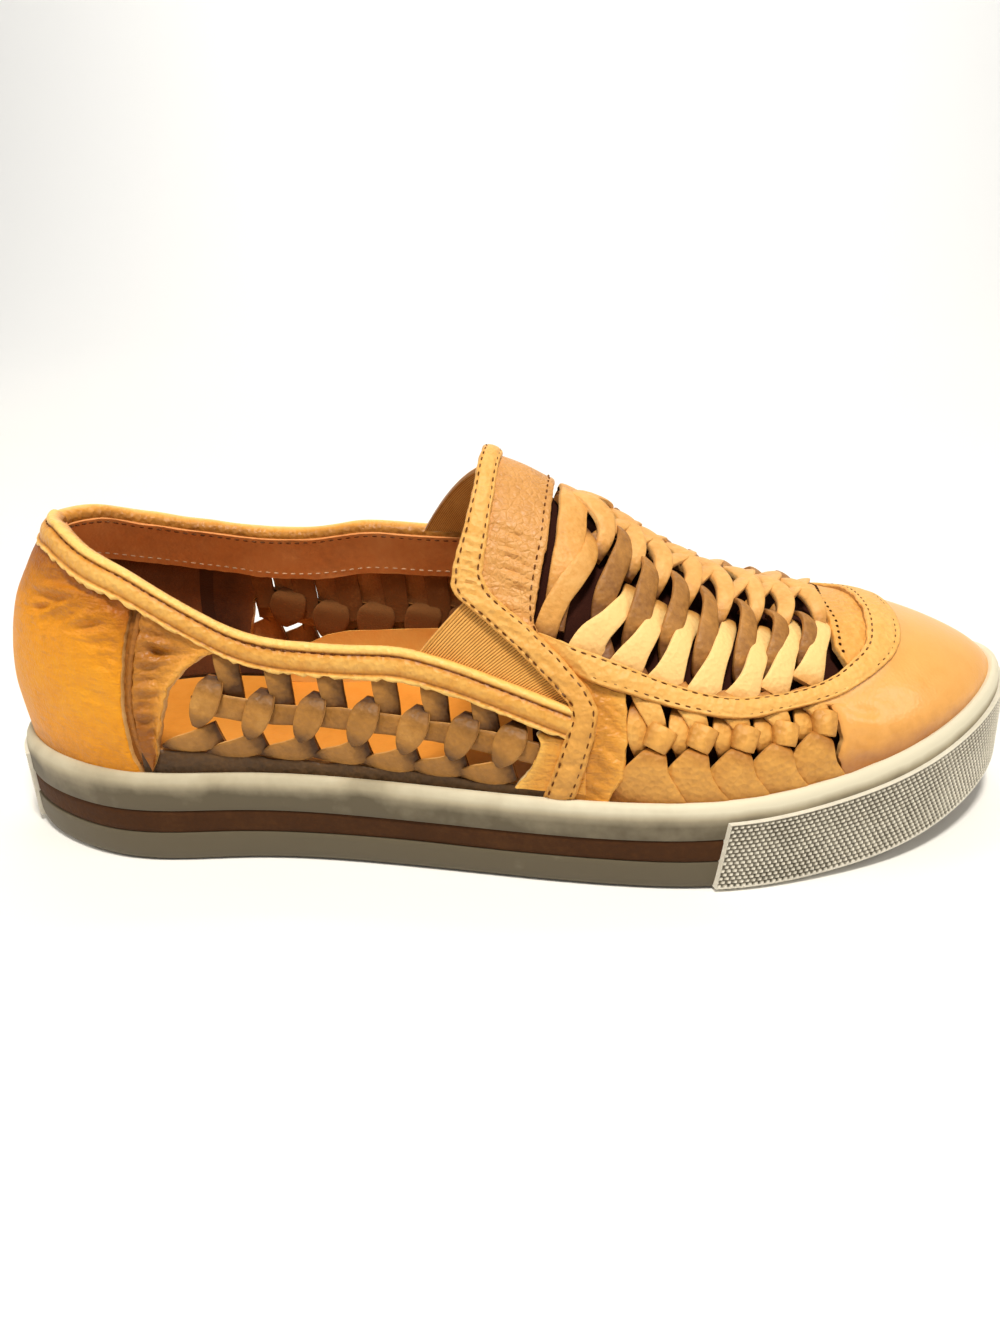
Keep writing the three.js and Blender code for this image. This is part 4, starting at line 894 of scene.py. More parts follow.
WAFFLE_ALONG = 1.5
WAFFLE_UP = 1.25
WAFFLE_DEPTH = 0.8
WAFFLE_SINK = 0.35
WAFFLE_STEEP = 1.5
WAFFLE_BORDER = 0.5
WAFFLE_LIP = 0.9
LIP_SLOPE = 0.25
WAFFLE_CONTRAST = 0.8
WAFFLE_PIT_SHADE = -0.45
BUMPER_SLANT = 0.011


def waffle(along, up, length, tall):
    """Rows of small raised pyramids inside a smooth border."""
    row = np.floor(up / WAFFLE_UP)
    shifted = along / WAFFLE_ALONG + np.mod(row, 2) / 2
    wave_along = 1 - np.abs(2 * np.mod(shifted, 1) - 1)
    wave_up = 1 - np.abs(2 * np.mod(up / WAFFLE_UP, 1) - 1)
    height = np.clip(np.minimum(wave_along, wave_up) * WAFFLE_STEEP, 0, 1)
    inside = np.minimum(np.minimum(along, length - along), np.minimum(up, tall - up))
    lip = np.clip((WAFFLE_BORDER - inside) / LIP_SLOPE, 0, 1)
    height = np.maximum(height * (lip < 1), lip * WAFFLE_LIP) - WAFFLE_SINK
    # Painted shade: the pits between the pyramids darker, their tops paler
    tone = np.clip(height / (1 - WAFFLE_SINK), 0, 1) * WAFFLE_CONTRAST + WAFFLE_PIT_SHADE
    return WAFFLE_DEPTH * height, tone


# The stripe's rounded borders, and its slow waves along the sole: depths and sizes in mm
STRIPE_ROUND = 0.35
STRIPE_ROUND_WIDTH = 0.7
STRIPE_WAVES = table("depth size", (0.12, 21), (0.08, 8.3))
STRIPE_GAP = 0.008


def soft_band(along, up, length, tall):
    height = -STRIPE_ROUND * np.clip(1 - np.minimum(up, tall - up) / STRIPE_ROUND_WIDTH, 0, 1) ** 2
    for depth, size in zip(STRIPE_WAVES["depth"], STRIPE_WAVES["size"]):
        height = height + depth * np.sin(along / size)
    return height, 0 * height


make_piece("sole_body", [sole_side(), sole_underside()], [rubber], ["cup_sole"], crease_angle=40)
make_piece(
    "bumper_skin",
    [side_band(BUMPER_START, 1, BUMPER_LOW, BUMPER_HIGH, 0.9, 480, 84, waffle, -0.6, False, BUMPER_SLANT)],
    [bumper_rubber] * 3, ["toe_bumper"], crease_angle=80,
)
make_piece(
    "heel_patch_skin",
    [side_band(0, HEEL_PATCH_END, BUMPER_LOW, BUMPER_HIGH, 0.35, 90, 72, waffle, -0.6, False)],
    [bumper_rubber] * 3, ["heel_patch"], crease_angle=80,
)
stripe = side_band(
    0, STRIPE_END, STRIPE_LOW + STRIPE_GAP, STRIPE_HIGH - STRIPE_GAP, -0.15, 130, 9, soft_band, -1.4,
)
make_piece("stripe_skin", [stripe], [stripe_leather] * 3, ["sole_stripe"])

# The insole: rows and columns, thickness and depth under the rim in mm, its dished border, and
# its arch: height, place and reach along
INSOLE_STEPS = (90, 31)
INSOLE_GAP = 0.3
INSOLE_THICK = 2.6
INSOLE_DEPTH = 4
DISH_DEPTH = 1.4
ARCH_HEIGHT = 3.0
ARCH_AT = 0.42
ARCH_REACH = 0.13


def insole_part():
    at = spread(np.linspace(0, 1, INSOLE_STEPS[0]))
    v = np.linspace(0, 1, INSOLE_STEPS[1])[None, :]
    outer, inner = (skin(at, across, -UPPER_WALL - INSOLE_GAP)[:, None, :] for across in (0, 1))
    top = lerp(outer, inner, v[..., None])
    arch = ARCH_HEIGHT * hill(at[:, None] - ARCH_AT, ARCH_REACH) * np.clip(v * 2 - 1, 0, 1) ** 2
    low = outer[..., 2] - INSOLE_DEPTH
    top[..., 2] = low + INSOLE_THICK + DISH_DEPTH * np.abs(2 * v - 1) ** 4 + arch
    bottom = top.copy()
    bottom[..., 2] = low
    return closed_shell(top, bottom, np.zeros(bottom.shape[:2]), (OUTER,) * 3)


make_piece("insole_skin", [insole_part()], [insole_leather], ["insole"])

# The upper edge of the footbed where it runs up the inner side
ARCH_TOP = table(
    "at across",
    (0.23, 0.01), (0.27, 0.066), (0.295, 0.080), (0.32, 0.086), (0.40, 0.088), (0.5, 0.086), (0.58, 0.08),
)


def arch_place(u, v):
    at = lerp(ARCH_TOP["at"][0], ARCH_TOP["at"][-1], u)
    return at, 1 - v * np.interp(at, ARCH_TOP["at"], ARCH_TOP["across"])

arch = sheet(
    arch_place, (80, 14), -4.6, -3.6, rounded=(1, 0, 0, 1), tone=lambda at, across, u, v: 0.1 - 0.3 * v,
)
make_piece("insole_arch", [arch], [arch_leather_painted_light] * 3)

# The leather's lower edge, in mm below the rim, and how far the quarter goes under the collar's band
HEM_DROP = 2.0
UNDER_BAND = BAND_WIDTH - 2
HEM_AT = np.linspace(0, 1, 200)
HEM_ACROSS = above_rim(HEM_AT, -HEM_DROP)


def hem(at):
    return np.interp(at, HEM_AT, HEM_ACROSS)


HEEL_ACROSS = (0.02, 0.205)


def heel_place(u, v):
    end = counter_seam(lerp(*HEEL_ACROSS, v))
    at = spread(unspread(end) * np.abs(2 * u - 1))
    inner = u > MIDDLE_AXIS
    top = np.where(inner, 1 - below_collar(at, True, UNDER_BAND), below_collar(at, False, UNDER_BAND))
    across = lerp(hem(at), top, v)
    return at, np.where(inner, 1 - across, across)


# Creases: ends, half width mm, depth mm (troughs are negative), bow mm
HEEL_CREASES = [
    (0.030, 0.224, 0.113, 0.218, 1.2, -0.65, 0.8), (0.026, 0.210, 0.107, 0.210, 1.0, -0.6, -0.8),
    (0.024, 0.200, 0.101, 0.202, 1.0, -0.55, 0.9), (0.029, 0.190, 0.083, 0.204, 0.9, -0.55, -0.6),
    (0.036, 0.182, 0.073, 0.200, 0.9, -0.5, 0.5), (0.050, 0.172, 0.103, 0.202, 1.0, -0.55, 0.9),
    (0.062, 0.180, 0.121, 0.206, 1.0, -0.6, -0.8), (0.056, 0.166, 0.101, 0.190, 1.0, -0.5, 0.7),
    (0.078, 0.174, 0.149, 0.196, 1.1, -0.5, -0.9), (0.101, 0.178, 0.151, 0.184, 1.0, -0.4, 0.5),
    (0.109, 0.164, 0.151, 0.170, 1.0, -0.4, -0.5), (0.063, 0.234, 0.121, 0.216, 1.4, -0.8, 0.6),
    (0.115, 0.222, 0.153, 0.200, 1.3, -0.6, 0.8), (0.131, 0.206, 0.155, 0.196, 1.0, -0.45, 0.3),
    (0.136, 0.160, 0.153, 0.164, 0.9, -0.35, 0.3), (0.119, 0.150, 0.144, 0.138, 1.1, -0.35, 0.4),
    (0.129, 0.156, 0.151, 0.146, 0.9, -0.35, 0.3), (0.040, 0.216, 0.110, 0.214, 0.9, 0.4, 0.5),
    (0.060, 0.190, 0.110, 0.208, 0.9, 0.4, 0.5), (0.090, 0.186, 0.150, 0.192, 1.4, 0.4, 0.6),
    (0.100, 0.120, 0.142, 0.100, 2.0, -0.25, 0.4), (0.110, 0.060, 0.145, 0.030, 2.2, -0.3, 0.8),
]


def heel_painted_shade(at, across, u, v):
    """Painted shade: darker and browner under the collar's band and down by the sole."""
    return 0.1 - 0.75 * v**4 - 0.4 * (1 - v) ** 6


heel = sheet(
    heel_place, (220, 90), -UPPER_WALL, 1.35, rounded=(1, 1, 0, 0), creased=HEEL_CREASES, rough=(0.12, 9, 5),
    ragged=0.15, tone=heel_painted_shade,
)
make_piece("heel_counter_skin", [heel], [heel_tan, suede, cut_edge], ["heel_counter"])

SEAM = table(
    "at across",
    (0.1575, 0.033), (0.152, 0.06), (0.15, 0.09), (0.151, 0.12), (0.155, 0.15), (0.162, 0.185), (0.166, 0.2),
)


def seam_strip(forward, width, lift, thickness, axis, **look):
    knots = [(at + forward, across, width, lift, 0) for at, across in zip(SEAM["at"], SEAM["across"])]
    return ribbon(knots, thickness, axis, tone=-1.0, **look)


def seam_parts(inner):
    """The dark groove of the seam: a narrow cord low between the edges, on a wider backing strip."""
    axis = MIDDLE_AXIS if inner else None
    cord = seam_strip(0.0055, 1.7, 0.25, 1.2, axis, samples=90, cup=0.3, seed=4)
    backing = seam_strip(0.005, 7.0, -0.9, 0.9, axis, samples=60, cup=0, seed=5)
    return [cord, backing]


# The quarter's front panel, from the seam to the curved edge of the weave's opening
QUARTER_EDGE = table(
    "v at across",
    (0, 0.172, 0.028), (0.1, 0.178, 0.045), (0.22, 0.179, 0.062), (0.4, 0.186, 0.087),
    (0.52, 0.1905, 0.104), (0.63, 0.196, 0.12), (0.76, 0.209, 0.135), (0.88, 0.225, 0.146),
    (1, 0.242, 0.155),
)
QUARTER_CREASES = [
    (0.163, 0.178, 0.203, 0.163, 1.1, -0.6, 0.6), (0.163, 0.165, 0.216, 0.154, 1.1, -0.75, -0.7),
    (0.162, 0.154, 0.206, 0.150, 1.0, -0.65, 0.6), (0.162, 0.140, 0.196, 0.144, 1.1, -0.6, -0.5),
    (0.160, 0.126, 0.194, 0.126, 1.1, -0.5, 0.6), (0.160, 0.112, 0.191, 0.114, 1.0, -0.5, -0.5),
    (0.160, 0.098, 0.179, 0.102, 1.0, -0.5, 0.4), (0.158, 0.084, 0.181, 0.086, 1.1, -0.5, -0.4),
    (0.172, 0.078, 0.179, 0.056, 1.0, -0.5, 0.4), (0.172, 0.172, 0.191, 0.144, 1.0, -0.4, 0.5),
    (0.164, 0.171, 0.208, 0.159, 1.0, 0.5, 0.4), (0.164, 0.147, 0.196, 0.147, 1.2, 0.45, 0.5),
    (0.162, 0.119, 0.190, 0.120, 1.2, 0.4, 0.4), (0.162, 0.092, 0.180, 0.094, 1.1, 0.4, 0.3),
]
INNER_REACH = 0.018
SEAM_SIDE = 0.0105
PANEL_ACROSS = (0.02, 0.203)


def quarter_panel_part(inner):
    def place(u, v):
        seam_across = lerp(*PANEL_ACROSS, v)
        edge_at = np.interp(v, QUARTER_EDGE["v"], QUARTER_EDGE["at"]) + INNER_REACH * inner
        edge_across = np.interp(v, QUARTER_EDGE["v"], QUARTER_EDGE["across"])
        at = lerp(counter_seam(seam_across) + SEAM_SIDE, edge_at, u)
        across = lerp(seam_across, edge_across, u)
        if inner:
            higher = (1 - below_collar(at, True, UNDER_BAND)) / below_collar(at, False, UNDER_BAND)
            across = across * lerp(1, higher, v)
        return at, mirrored(across, inner)

    def relief(at, across, u, v):
        return 0.9 * hill(1 - u, 0.12) - 0.3 * hill(0.72 - u, 0.12)

    # Painted shade, darker down by the sole; the panel also pales towards its raised front edge
    def tone(at, across, u, v):
        return -0.3 + 0.5 * u**3 - 0.5 * (1 - v) ** 3

    return sheet(
        place, (44, 84), -UPPER_WALL, 0.9, rounded=(1, 1, 0, 0), relief=relief, creased=QUARTER_CREASES,
        rough=(0.12, 7, 6), ragged=0.35, tone=tone, seed=7,
    )


# The plain band along the sole, with a low scallop for each loop, and the tab before the weave
BASE_LINE = table(
    "at across",
    (0.15, 0.05), (0.18, 0.05), (0.2287, 0.0435), (0.28, 0.036), (0.333, 0.032), (0.394, 0.032),
    (0.443, 0.030), (0.49, 0.026), (0.52, 0.026), (0.56, 0.03), (0.6, 0.03),
)
BASE_RANGE = (0.16, 0.58)
SCALLOP = 0.0016
SCALLOP_AT = 0.262
SCALLOP_PITCH = 0.0484


def base_band_part(inner):
    def place(u, v):
        at = lerp(*BASE_RANGE, u)
        top = np.interp(at, BASE_LINE["at"], BASE_LINE["across"])
        scallop = SCALLOP * np.cos(2 * np.pi * (at - SCALLOP_AT) / SCALLOP_PITCH)
        return at, mirrored(lerp(hem(at), top + scallop, v), inner)

    # the tone is painted shade, darker towards the sole
    return sheet(
        place, (160, 6), -UPPER_WALL, 0.35, rounded=(0, 0, 0, 1), rough=(0.15, 6, 8), ragged=0.12, seed=8,
        tone=lambda at, across, u, v: -0.45 + 0.2 * v,
    )


TAB_EDGE = table(
    "v at across",
    (0, 0.52, 0.024), (0.3, 0.53, 0.04), (0.55, 0.537, 0.055), (0.85, 0.545, 0.08), (1, 0.541, 0.093),
)
TAB_FRONT = 0.585


def tab_part(inner):
    def place(u, v):
        at = lerp(np.interp(v, TAB_EDGE["v"], TAB_EDGE["at"]), TAB_FRONT, u)
        across = np.interp(v, TAB_EDGE["v"], TAB_EDGE["across"]) + (0.05 * v**2 if inner else 0)
        top = lerp(across, np.minimum(across, 0.2 if inner else 0.1), u)
        return at, mirrored(top, inner)

    return sheet(
        place, (14, 24), -0.9, 0.75, rounded=(1, 0, 0, 1), rough=(0.12, 5, 9), ragged=0.5, seed=9,
        relief=lambda at, across, u, v: 0.35 * hill(u, 0.1),
        tone=lambda at, across, u, v: 0.1 + 0.5 * hill(u, 0.12),
    )


# The plain panel between the saddle strap and the forefoot weave
VAMP_SIDE_EDGE = table(
    "across at",
    (0, 0.606), (0.012, 0.606), (0.028, 0.609), (0.052, 0.619), (0.112, 0.623), (0.162, 0.622), (0.2, 0.62),
)
VAMP_SIDE_CREASES = [
    (0.594, 0.155, 0.618, 0.135, 1.1, -0.6, 0.6), (0.596, 0.14, 0.619, 0.122, 1.0, -0.5, -0.5),
    (0.596, 0.125, 0.62, 0.108, 1.1, -0.5, 0.5), (0.594, 0.15, 0.616, 0.145, 1.0, 0.5, 0.3),
    (0.59, 0.1, 0.618, 0.07, 1.3, -0.5, 0.8), (0.588, 0.08, 0.61, 0.05, 1.4, -0.45, -0.8),
    (0.585, 0.055, 0.606, 0.03, 1.3, -0.45, 0.6), (0.582, 0.03, 0.603, 0.018, 1.1, -0.4, 0.4),
    (0.598, 0.095, 0.612, 0.05, 1.6, 0.45, 0.5),
]
VAMP_SIDE_TOP = 0.178
UNDER_STRAP = 0.012


def vamp_side_part(inner):
    def place(u, v):
        across = VAMP_SIDE_TOP * v
        back = np.interp(across, SADDLE["across"], SADDLE["front"]) - UNDER_STRAP
        at = lerp(back, np.interp(across, VAMP_SIDE_EDGE["across"], VAMP_SIDE_EDGE["at"]), u)
        return at, mirrored(np.maximum(across, hem(at)), inner)

    return sheet(
        place, (18, 60), -UPPER_WALL, 0.5, rounded=(0, 1, 0, 0), creased=VAMP_SIDE_CREASES,
        rough=(0.15, 5, 10), ragged=0.3, seed=10, relief=lambda at, across, u, v: 0.45 * hill(1 - u, 0.1),
        tone=lambda at, across, u, v: -0.1 + 0.3 * u**4,
    )


# The saddle strap, the instep panel, the apron ring, the toe tab and the toe cap
STRAP_CREASES = [
    (0.55, 0.13, 0.585, 0.142, 1.2, -0.5, 0), (0.55, 0.155, 0.585, 0.148, 1.1, -0.5, 0),
    (0.53, 0.176, 0.566, 0.168, 1.2, -0.5, 0), (0.5, 0.2, 0.545, 0.19, 1.2, -0.5, 0),
    (0.482, 0.213, 0.53, 0.203, 1.0, -0.4, 0), (0.467, 0.23, 0.505, 0.226, 1.1, -0.6, 0),
    (0.466, 0.24, 0.5, 0.237, 0.9, -0.6, 0), (0.467, 0.25, 0.497, 0.247, 0.9, -0.6, 0),
    (0.468, 0.26, 0.496, 0.258, 0.9, -0.6, 0), (0.47, 0.272, 0.496, 0.269, 0.9, -0.5, 0),
    (0.472, 0.284, 0.496, 0.282, 1.0, -0.45, 0), (0.475, 0.3, 0.497, 0.297, 1.1, -0.4, 0),
    (0.556, 0.09, 0.59, 0.096, 1.1, -0.3, 0), (0.55, 0.06, 0.585, 0.066, 1.2, -0.3, 0),
    (0.545, 0.03, 0.58, 0.036, 1.2, -0.35, 0),
]
STRAP_FOOT = float(above_rim(np.array([0.555]), -0.3)[0])
STRAP_ROWS = (0.14, 0.84)


def strap_place(u, v):
    across = lerp(STRAP_FOOT, 1 - STRAP_FOOT, u)
    return lerp(saddle_back(fold(across)), saddle_front(fold(across)), v), across


def strap_relief(at, across, u, v):
    grooves = sum(hill(v - row, 0.05) for row in STRAP_ROWS)
    plump = 0.5 * np.sin(np.pi * np.clip(v, 0, 1)) - 0.9 * np.clip(1 - np.minimum(u, 1 - u) / 0.012, 0, 1)
    creased = crease_relief(STRAP_CREASES, at, across) * np.sin(np.pi * v) ** 0.5
    return creased - 0.35 * grooves + plump


def strap_tone(at, across, u, v):
    return 0.12 - 0.25 * np.clip(1 - np.minimum(u, 1 - u) * 5, 0, 1)


def row_on(place, v_share, from_u, to_u, count):
    """The line on a sheet at one share across its width."""
    u = np.linspace(from_u, to_u, count)
    return place(u, np.full_like(u, v_share))


strap = sheet(
    strap_place, (260, 16), 0.55, 2.2, rounded=(0, 0, 1, 1), relief=strap_relief, rough=(0.1, 6, 11),
    ragged=0.15, follow=0.4, tone=strap_tone, seed=11,
)
make_piece("saddle_strap_skin", [strap], LEATHER, ["saddle_strap"])
strap_thread = [stitches(*row_on(strap_place, row, 0.004, 0.996, 500), 2.15) for row in STRAP_ROWS]
make_piece("saddle_strap_thread", strap_thread, [thread])

PANEL_CREASES = [
    (0.505, 0.22, 0.54, 0.215, 1.2, -0.4, 0.4), (0.503, 0.24, 0.543, 0.232, 1.1, -0.5, 0.5),
    (0.5, 0.255, 0.546, 0.246, 1.1, -0.5, -0.4), (0.5, 0.27, 0.547, 0.262, 1.0, -0.5, 0.5),
    (0.5, 0.285, 0.548, 0.28, 1.0, -0.5, 0.3), (0.501, 0.3, 0.549, 0.296, 1.0, -0.45, -0.4),
    (0.502, 0.32, 0.55, 0.313, 1.1, -0.4, 0.5), (0.515, 0.25, 0.54, 0.26, 1.2, 0.4, 0.3),
    (0.51, 0.29, 0.54, 0.3, 1.2, 0.4, -0.3),
]
PANEL_FOOT = 0.185


def panel_place(u, v):
    across = lerp(PANEL_FOOT, 1 - PANEL_FOOT, u)
    folded = fold(across)
    first = PANEL["across"][0]
    front = np.interp(folded, PANEL["across"], PANEL["front"])
    front = np.where(folded < first, PANEL["front"][0] + 0.4 * (first - folded), front)
    return lerp(saddle_front(folded) - UNDER_STRAP, front, v), across


panel = sheet(
    panel_place, (150, 22), -0.9, 0.9, rounded=(0, 0, 0, 1), creased=PANEL_CREASES, rough=(0.15, 7, 12),
    ragged=0.2, seed=12, relief=lambda at, across, u, v: 0.25 * hill(1 - v, 0.08),
)
make_piece("instep_panel_skin", [panel], [panel_tan, suede, cut_edge], ["instep_panel"])
panel_thread = stitches(*row_on(panel_place, 0.9, 0.03, 0.97, 300), 0.95, length=1.4)
make_piece("instep_panel_thread", [panel_thread], [thread])

apron_rows = {
    key: np.concatenate([values, (2 * APRON_AXIS - values[-2::-1]) if "Across" in key else values[-2::-1]])
    for key, values in APRON.items()
}
apron_steps = np.arange(len(apron_rows["inAt"]), dtype=float)
apron = {key: natural_spline(apron_steps, values) for key, values in apron_rows.items()}


def ring_place(u, v):
    step = u * apron_steps[-1]
    return tuple(lerp(apron["in" + key](step), apron["out" + key](step), v) for key in ("At", "Across"))


RING_ROWS = (0.13, 0.8)


def ring_relief(at, across, u, v):
    grooves = sum(hill(v - row, 0.05) for row in RING_ROWS)
    dive = -1.9 * np.clip(1.6 - np.minimum(u, 1 - u) * apron_steps[-1], 0, 1)
    return 0.3 * np.sin(np.pi * v) - 0.3 * grooves + dive


ring = sheet(
    ring_place, (300, 12), 0.75, 2.25, rounded=(0, 0, 1, 1), relief=ring_relief, rough=(0.1, 8, 13),
    ragged=0.22, follow=1.0, seed=13,
    tone=lambda at, across, u, v: 0.15 - 0.5 * np.clip((v - 0.93) / 0.07, 0, 1),
)
make_piece("apron_ring_skin", [ring], [tan, suede, dark_edge], ["apron_ring"])
ring_thread = [stitches(*row_on(ring_place, row, 0.07, 0.93, 500), 2.1) for row in RING_ROWS]
make_piece("apron_ring_thread", ring_thread, [thread])

TAB_BACK = table(
    "across at",
    (0.26, 0.829), (0.315, 0.8205), (0.389, 0.8225), (0.48, 0.816), (0.571, 0.8225), (0.645, 0.8205),
    (0.7, 0.829),
)
TAB_START = 0.262
# Steps of the ring's table at each end that run along the foot, not round the toe
RING_SIDE_STEPS = 5


def ring_edge(across, at_key, across_key):
    """The share along of one edge of the ring where it turns round the toe."""
    steps = np.linspace(RING_SIDE_STEPS, apron_steps[-1] - RING_SIDE_STEPS, 400)
    return np.interp(across, apron[across_key](steps), apron[at_key](steps))


def toe_tab_place(u, v):
    across = lerp(TAB_START, 2 * APRON_AXIS - TAB_START, u)
    back = np.interp(across, TAB_BACK["across"], TAB_BACK["at"])
    front = ring_edge(across, "inAt", "inAcross") + 0.007
    return lerp(np.minimum(back, front - 0.003), front, v), across


toe_tab = sheet(
    toe_tab_place, (90, 16), -0.9, 0.75, rounded=(0, 0, 1, 0), rough=(0.1, 8, 14), ragged=0.12, seed=14,
    relief=lambda at, across, u, v: 0.35 * hill(v, 0.2),
)
make_piece("toe_tab_skin", [toe_tab], LEATHER, ["toe_tab"])
tab_row = row_on(toe_tab_place, 0.14, 0.06, 0.94, 300)
# Dark beads stand in for the tab's holes: painted shade of the holes' insides
hole_shadows = stitches(*tab_row, 0.95, pitch=2.3, length=0.9, radius=0.42, tone=-1.0)
make_piece("toe_tab_hole_shadows", [hole_shadows], [thread])

CAP_EDGE = table(
    "across at",
    (0, 0.82), (0.01, 0.819), (0.068, 0.8115), (0.1, 0.816), (0.146, 0.813), (0.182, 0.805), (0.2, 0.8),
)
NOSE_RANGE = (0.82, 1.0)
NOSE_DROP = 1.5
RING_FOOT = 0.175


def above_sole(at):
    """Whether the middle of the toe is still above the sole's rim."""
    along = RIM_WIDTH + at * LAST_LENGTH
    return last_point(at, MIDDLE_AXIS)[2] - rim_height(along / SHOE_LENGTH) > -NOSE_DROP


NOSE_END = float(halved(*NOSE_RANGE, above_sole))


def toe_cap_place(u, v):
    ringed = (u > RING_FOOT) & (u < 2 * APRON_AXIS - RING_FOOT)
    plain = np.interp(fold(u), CAP_EDGE["across"], CAP_EDGE["at"])
    back = np.where(ringed, ring_edge(u, "outAt", "outAcross") - 0.008, plain)
    at = lerp(back, NOSE_END, 1 - (1 - v) ** 2)
    return at, np.clip(u, hem(at), 1 - hem(at))


CAP_CREASES = [
    (0.822, 0.17, 0.85, 0.12, 2.0, -0.4, 1.0), (0.822, 0.12, 0.842, 0.07, 1.8, -0.4, 0.8),
    (0.825, 0.06, 0.85, 0.02, 1.8, -0.35, 0.6), (0.83, 0.15, 0.86, 0.09, 2.4, 0.35, 1.0),
    (0.85, 0.2, 0.88, 0.12, 3.0, -0.25, 1.4),
]


def cap_painted_light(at, across, u, v):
    """A painted highlight, paler on top, and painted shade, darker and browner down by the rubber."""
    return 0.25 * np.sin(np.pi * u) ** 2 - 0.55 * hill(fold(across) - hem(at), 0.06)


cap = sheet(
    toe_cap_place, (150, 60), -0.9, 1.25, rounded=(0, 0, 1, 0), creased=CAP_CREASES, rough=(0.08, 16, 15),
    ragged=0.2, follow=0.5, tone=cap_painted_light, seed=15, relief=lambda at, across, u, v: 0.5 * hill(v, 0.03),
)
make_piece("toe_cap_skin", [cap], [tan_smooth, suede, cut_edge], ["toe_cap"])

# The collar's folded binding: its section as mm below the collar's edge and mm off the last, and its tone: a
# painted highlight on the rolled rim and the band's crown, the lower lip paler too, and painted shade in the
# stitch groove, above the lower lip, under the lower edge and on the side inside the shoe
BINDING = table(
    "below lift tone",
    (8.3, 0.5, -0.6), (8.35, 1.3, 0.2), (8.05, 1.85, 0.5), (7.6, 1.95, 0.4), (7.15, 1.65, -0.1),
    (6.85, 1.5, -0.35), (6.3, 1.8, 0), (5.4, 2.15, 0.15), (4.2, 2.35, 0.2), (3.2, 2.2, 0.15),
    (2.5, 1.85, -0.1), (2.2, 1.55, -0.5), (1.9, 1.75, -0.3), (1.5, 2.05, 0.25), (0.8, 2.1, 0.5),
    (0.25, 1.75, 0.5), (-0.15, 1.0, 0.4), (-0.3, 0.1, 0.2), (-0.2, -0.9, 0), (0.15, -1.8, -0.2),
    (0.9, -2.5, -0.3), (2.2, -2.8, -0.3), (4, -2.8, -0.3), (5.5, -2.7, -0.4), (6.2, -2.3, -0.5),
    (6.0, -1.7, -0.5), (4, -1.4, -0.5), (2.5, -0.6, -0.5), (3.5, 0.3, -0.5), (6, 0.5, -0.5),
)
BINDING_STEPS = 330
BINDING_END = 0.006
FRAYED_FROM = 7.9


def collar_station(u, below):
    """Shares on the collar's run: u goes from the outer throat round the heel to the inner one."""
    inner = u > MIDDLE_AXIS
    outer_end, inner_end = (saddle_back(corner) + BINDING_END for corner in THROAT_CORNERS)
    at = spread(unspread(np.where(inner, inner_end, outer_end)) * np.abs(2 * u - 1))
    return at, np.where(inner, below_collar(at, True, below), below_collar(at, False, below))


THROAT_CORNERS = [throat_corner(inner) for inner in (False, True)]


def collar_part():
    # the tone column carries the section's painted highlight and painted shade
    below, lift, tone = (BINDING[key][None, :] for key in ("below", "lift", "tone"))
    u = np.linspace(0, 1, BINDING_STEPS + 1)[:, None] + 0 * below
    at, across = collar_station(u, below)
    plump = 0.22 * uneven(at[:, :1], across[:, :1], 11, 16) * (lift > 0)
    rough = 0.42 * uneven(at[:, :1], across[:, :1], 1.9, 17) * (below > FRAYED_FROM)
    loops = skin(*collar_station(u, below + rough), lift + plump)
    return open_grid(loops, tone + 0 * u, closed=True)


OUTER_RUN = (0.01, 0.4999)
INNER_RUN = (0.5001, 0.99)
BOTH_RUNS = (OUTER_RUN, INNER_RUN)


def collar_rows(below, lift, runs=BOTH_RUNS, tone=0.0):
    """Stitches along the collar, on the outer side and then on the inner side."""
    lines = [collar_station(u, np.full_like(u, below)) for u in (np.linspace(*run, 400) for run in runs)]
    return [stitches(*line, lift, tone=tone) for line in lines]


make_piece("collar_band_skin", [collar_part()], [collar_tan], ["collar_band"], crease_angle=70)
collar_thread = collar_rows(2.2, 1.62) + collar_rows(2.6, -3.4) + collar_rows(13.6, -3.35, (INNER_RUN,), 1.0)
make_piece("collar_band_thread", collar_thread, [thread])

# How far down the facing reaches along the collar's run: on the outer side it stays behind the band
FACING = table("u reach", (0, 7.6), (0.28, 7.6), (0.4, 15.5), (1, 15.5))
FACING_TOP = 1.6


def facing_place(u, v):
    return collar_station(u, lerp(FACING_TOP, np.interp(u, FACING["u"], FACING["reach"]), v))


facing_sheet = sheet(
    facing_place, (200, 12), -3.3, -2.2, rounded=(0, 0, 0, 1), rough=(-0.2, 8, 18), follow=1.0,
    ragged=0.15, seed=18,
)
make_piece("collar_facing", [facing_sheet], [facing] * 3)

# The elastic gores
RIB_PITCH = 0.68
RIB_DEPTH = 0.24
RIB_ROUND = 0.7
RIB_SAMPLES = 8
HEM_FOLD = 0.5
HEM_FOLD_WIDTH = 1.6


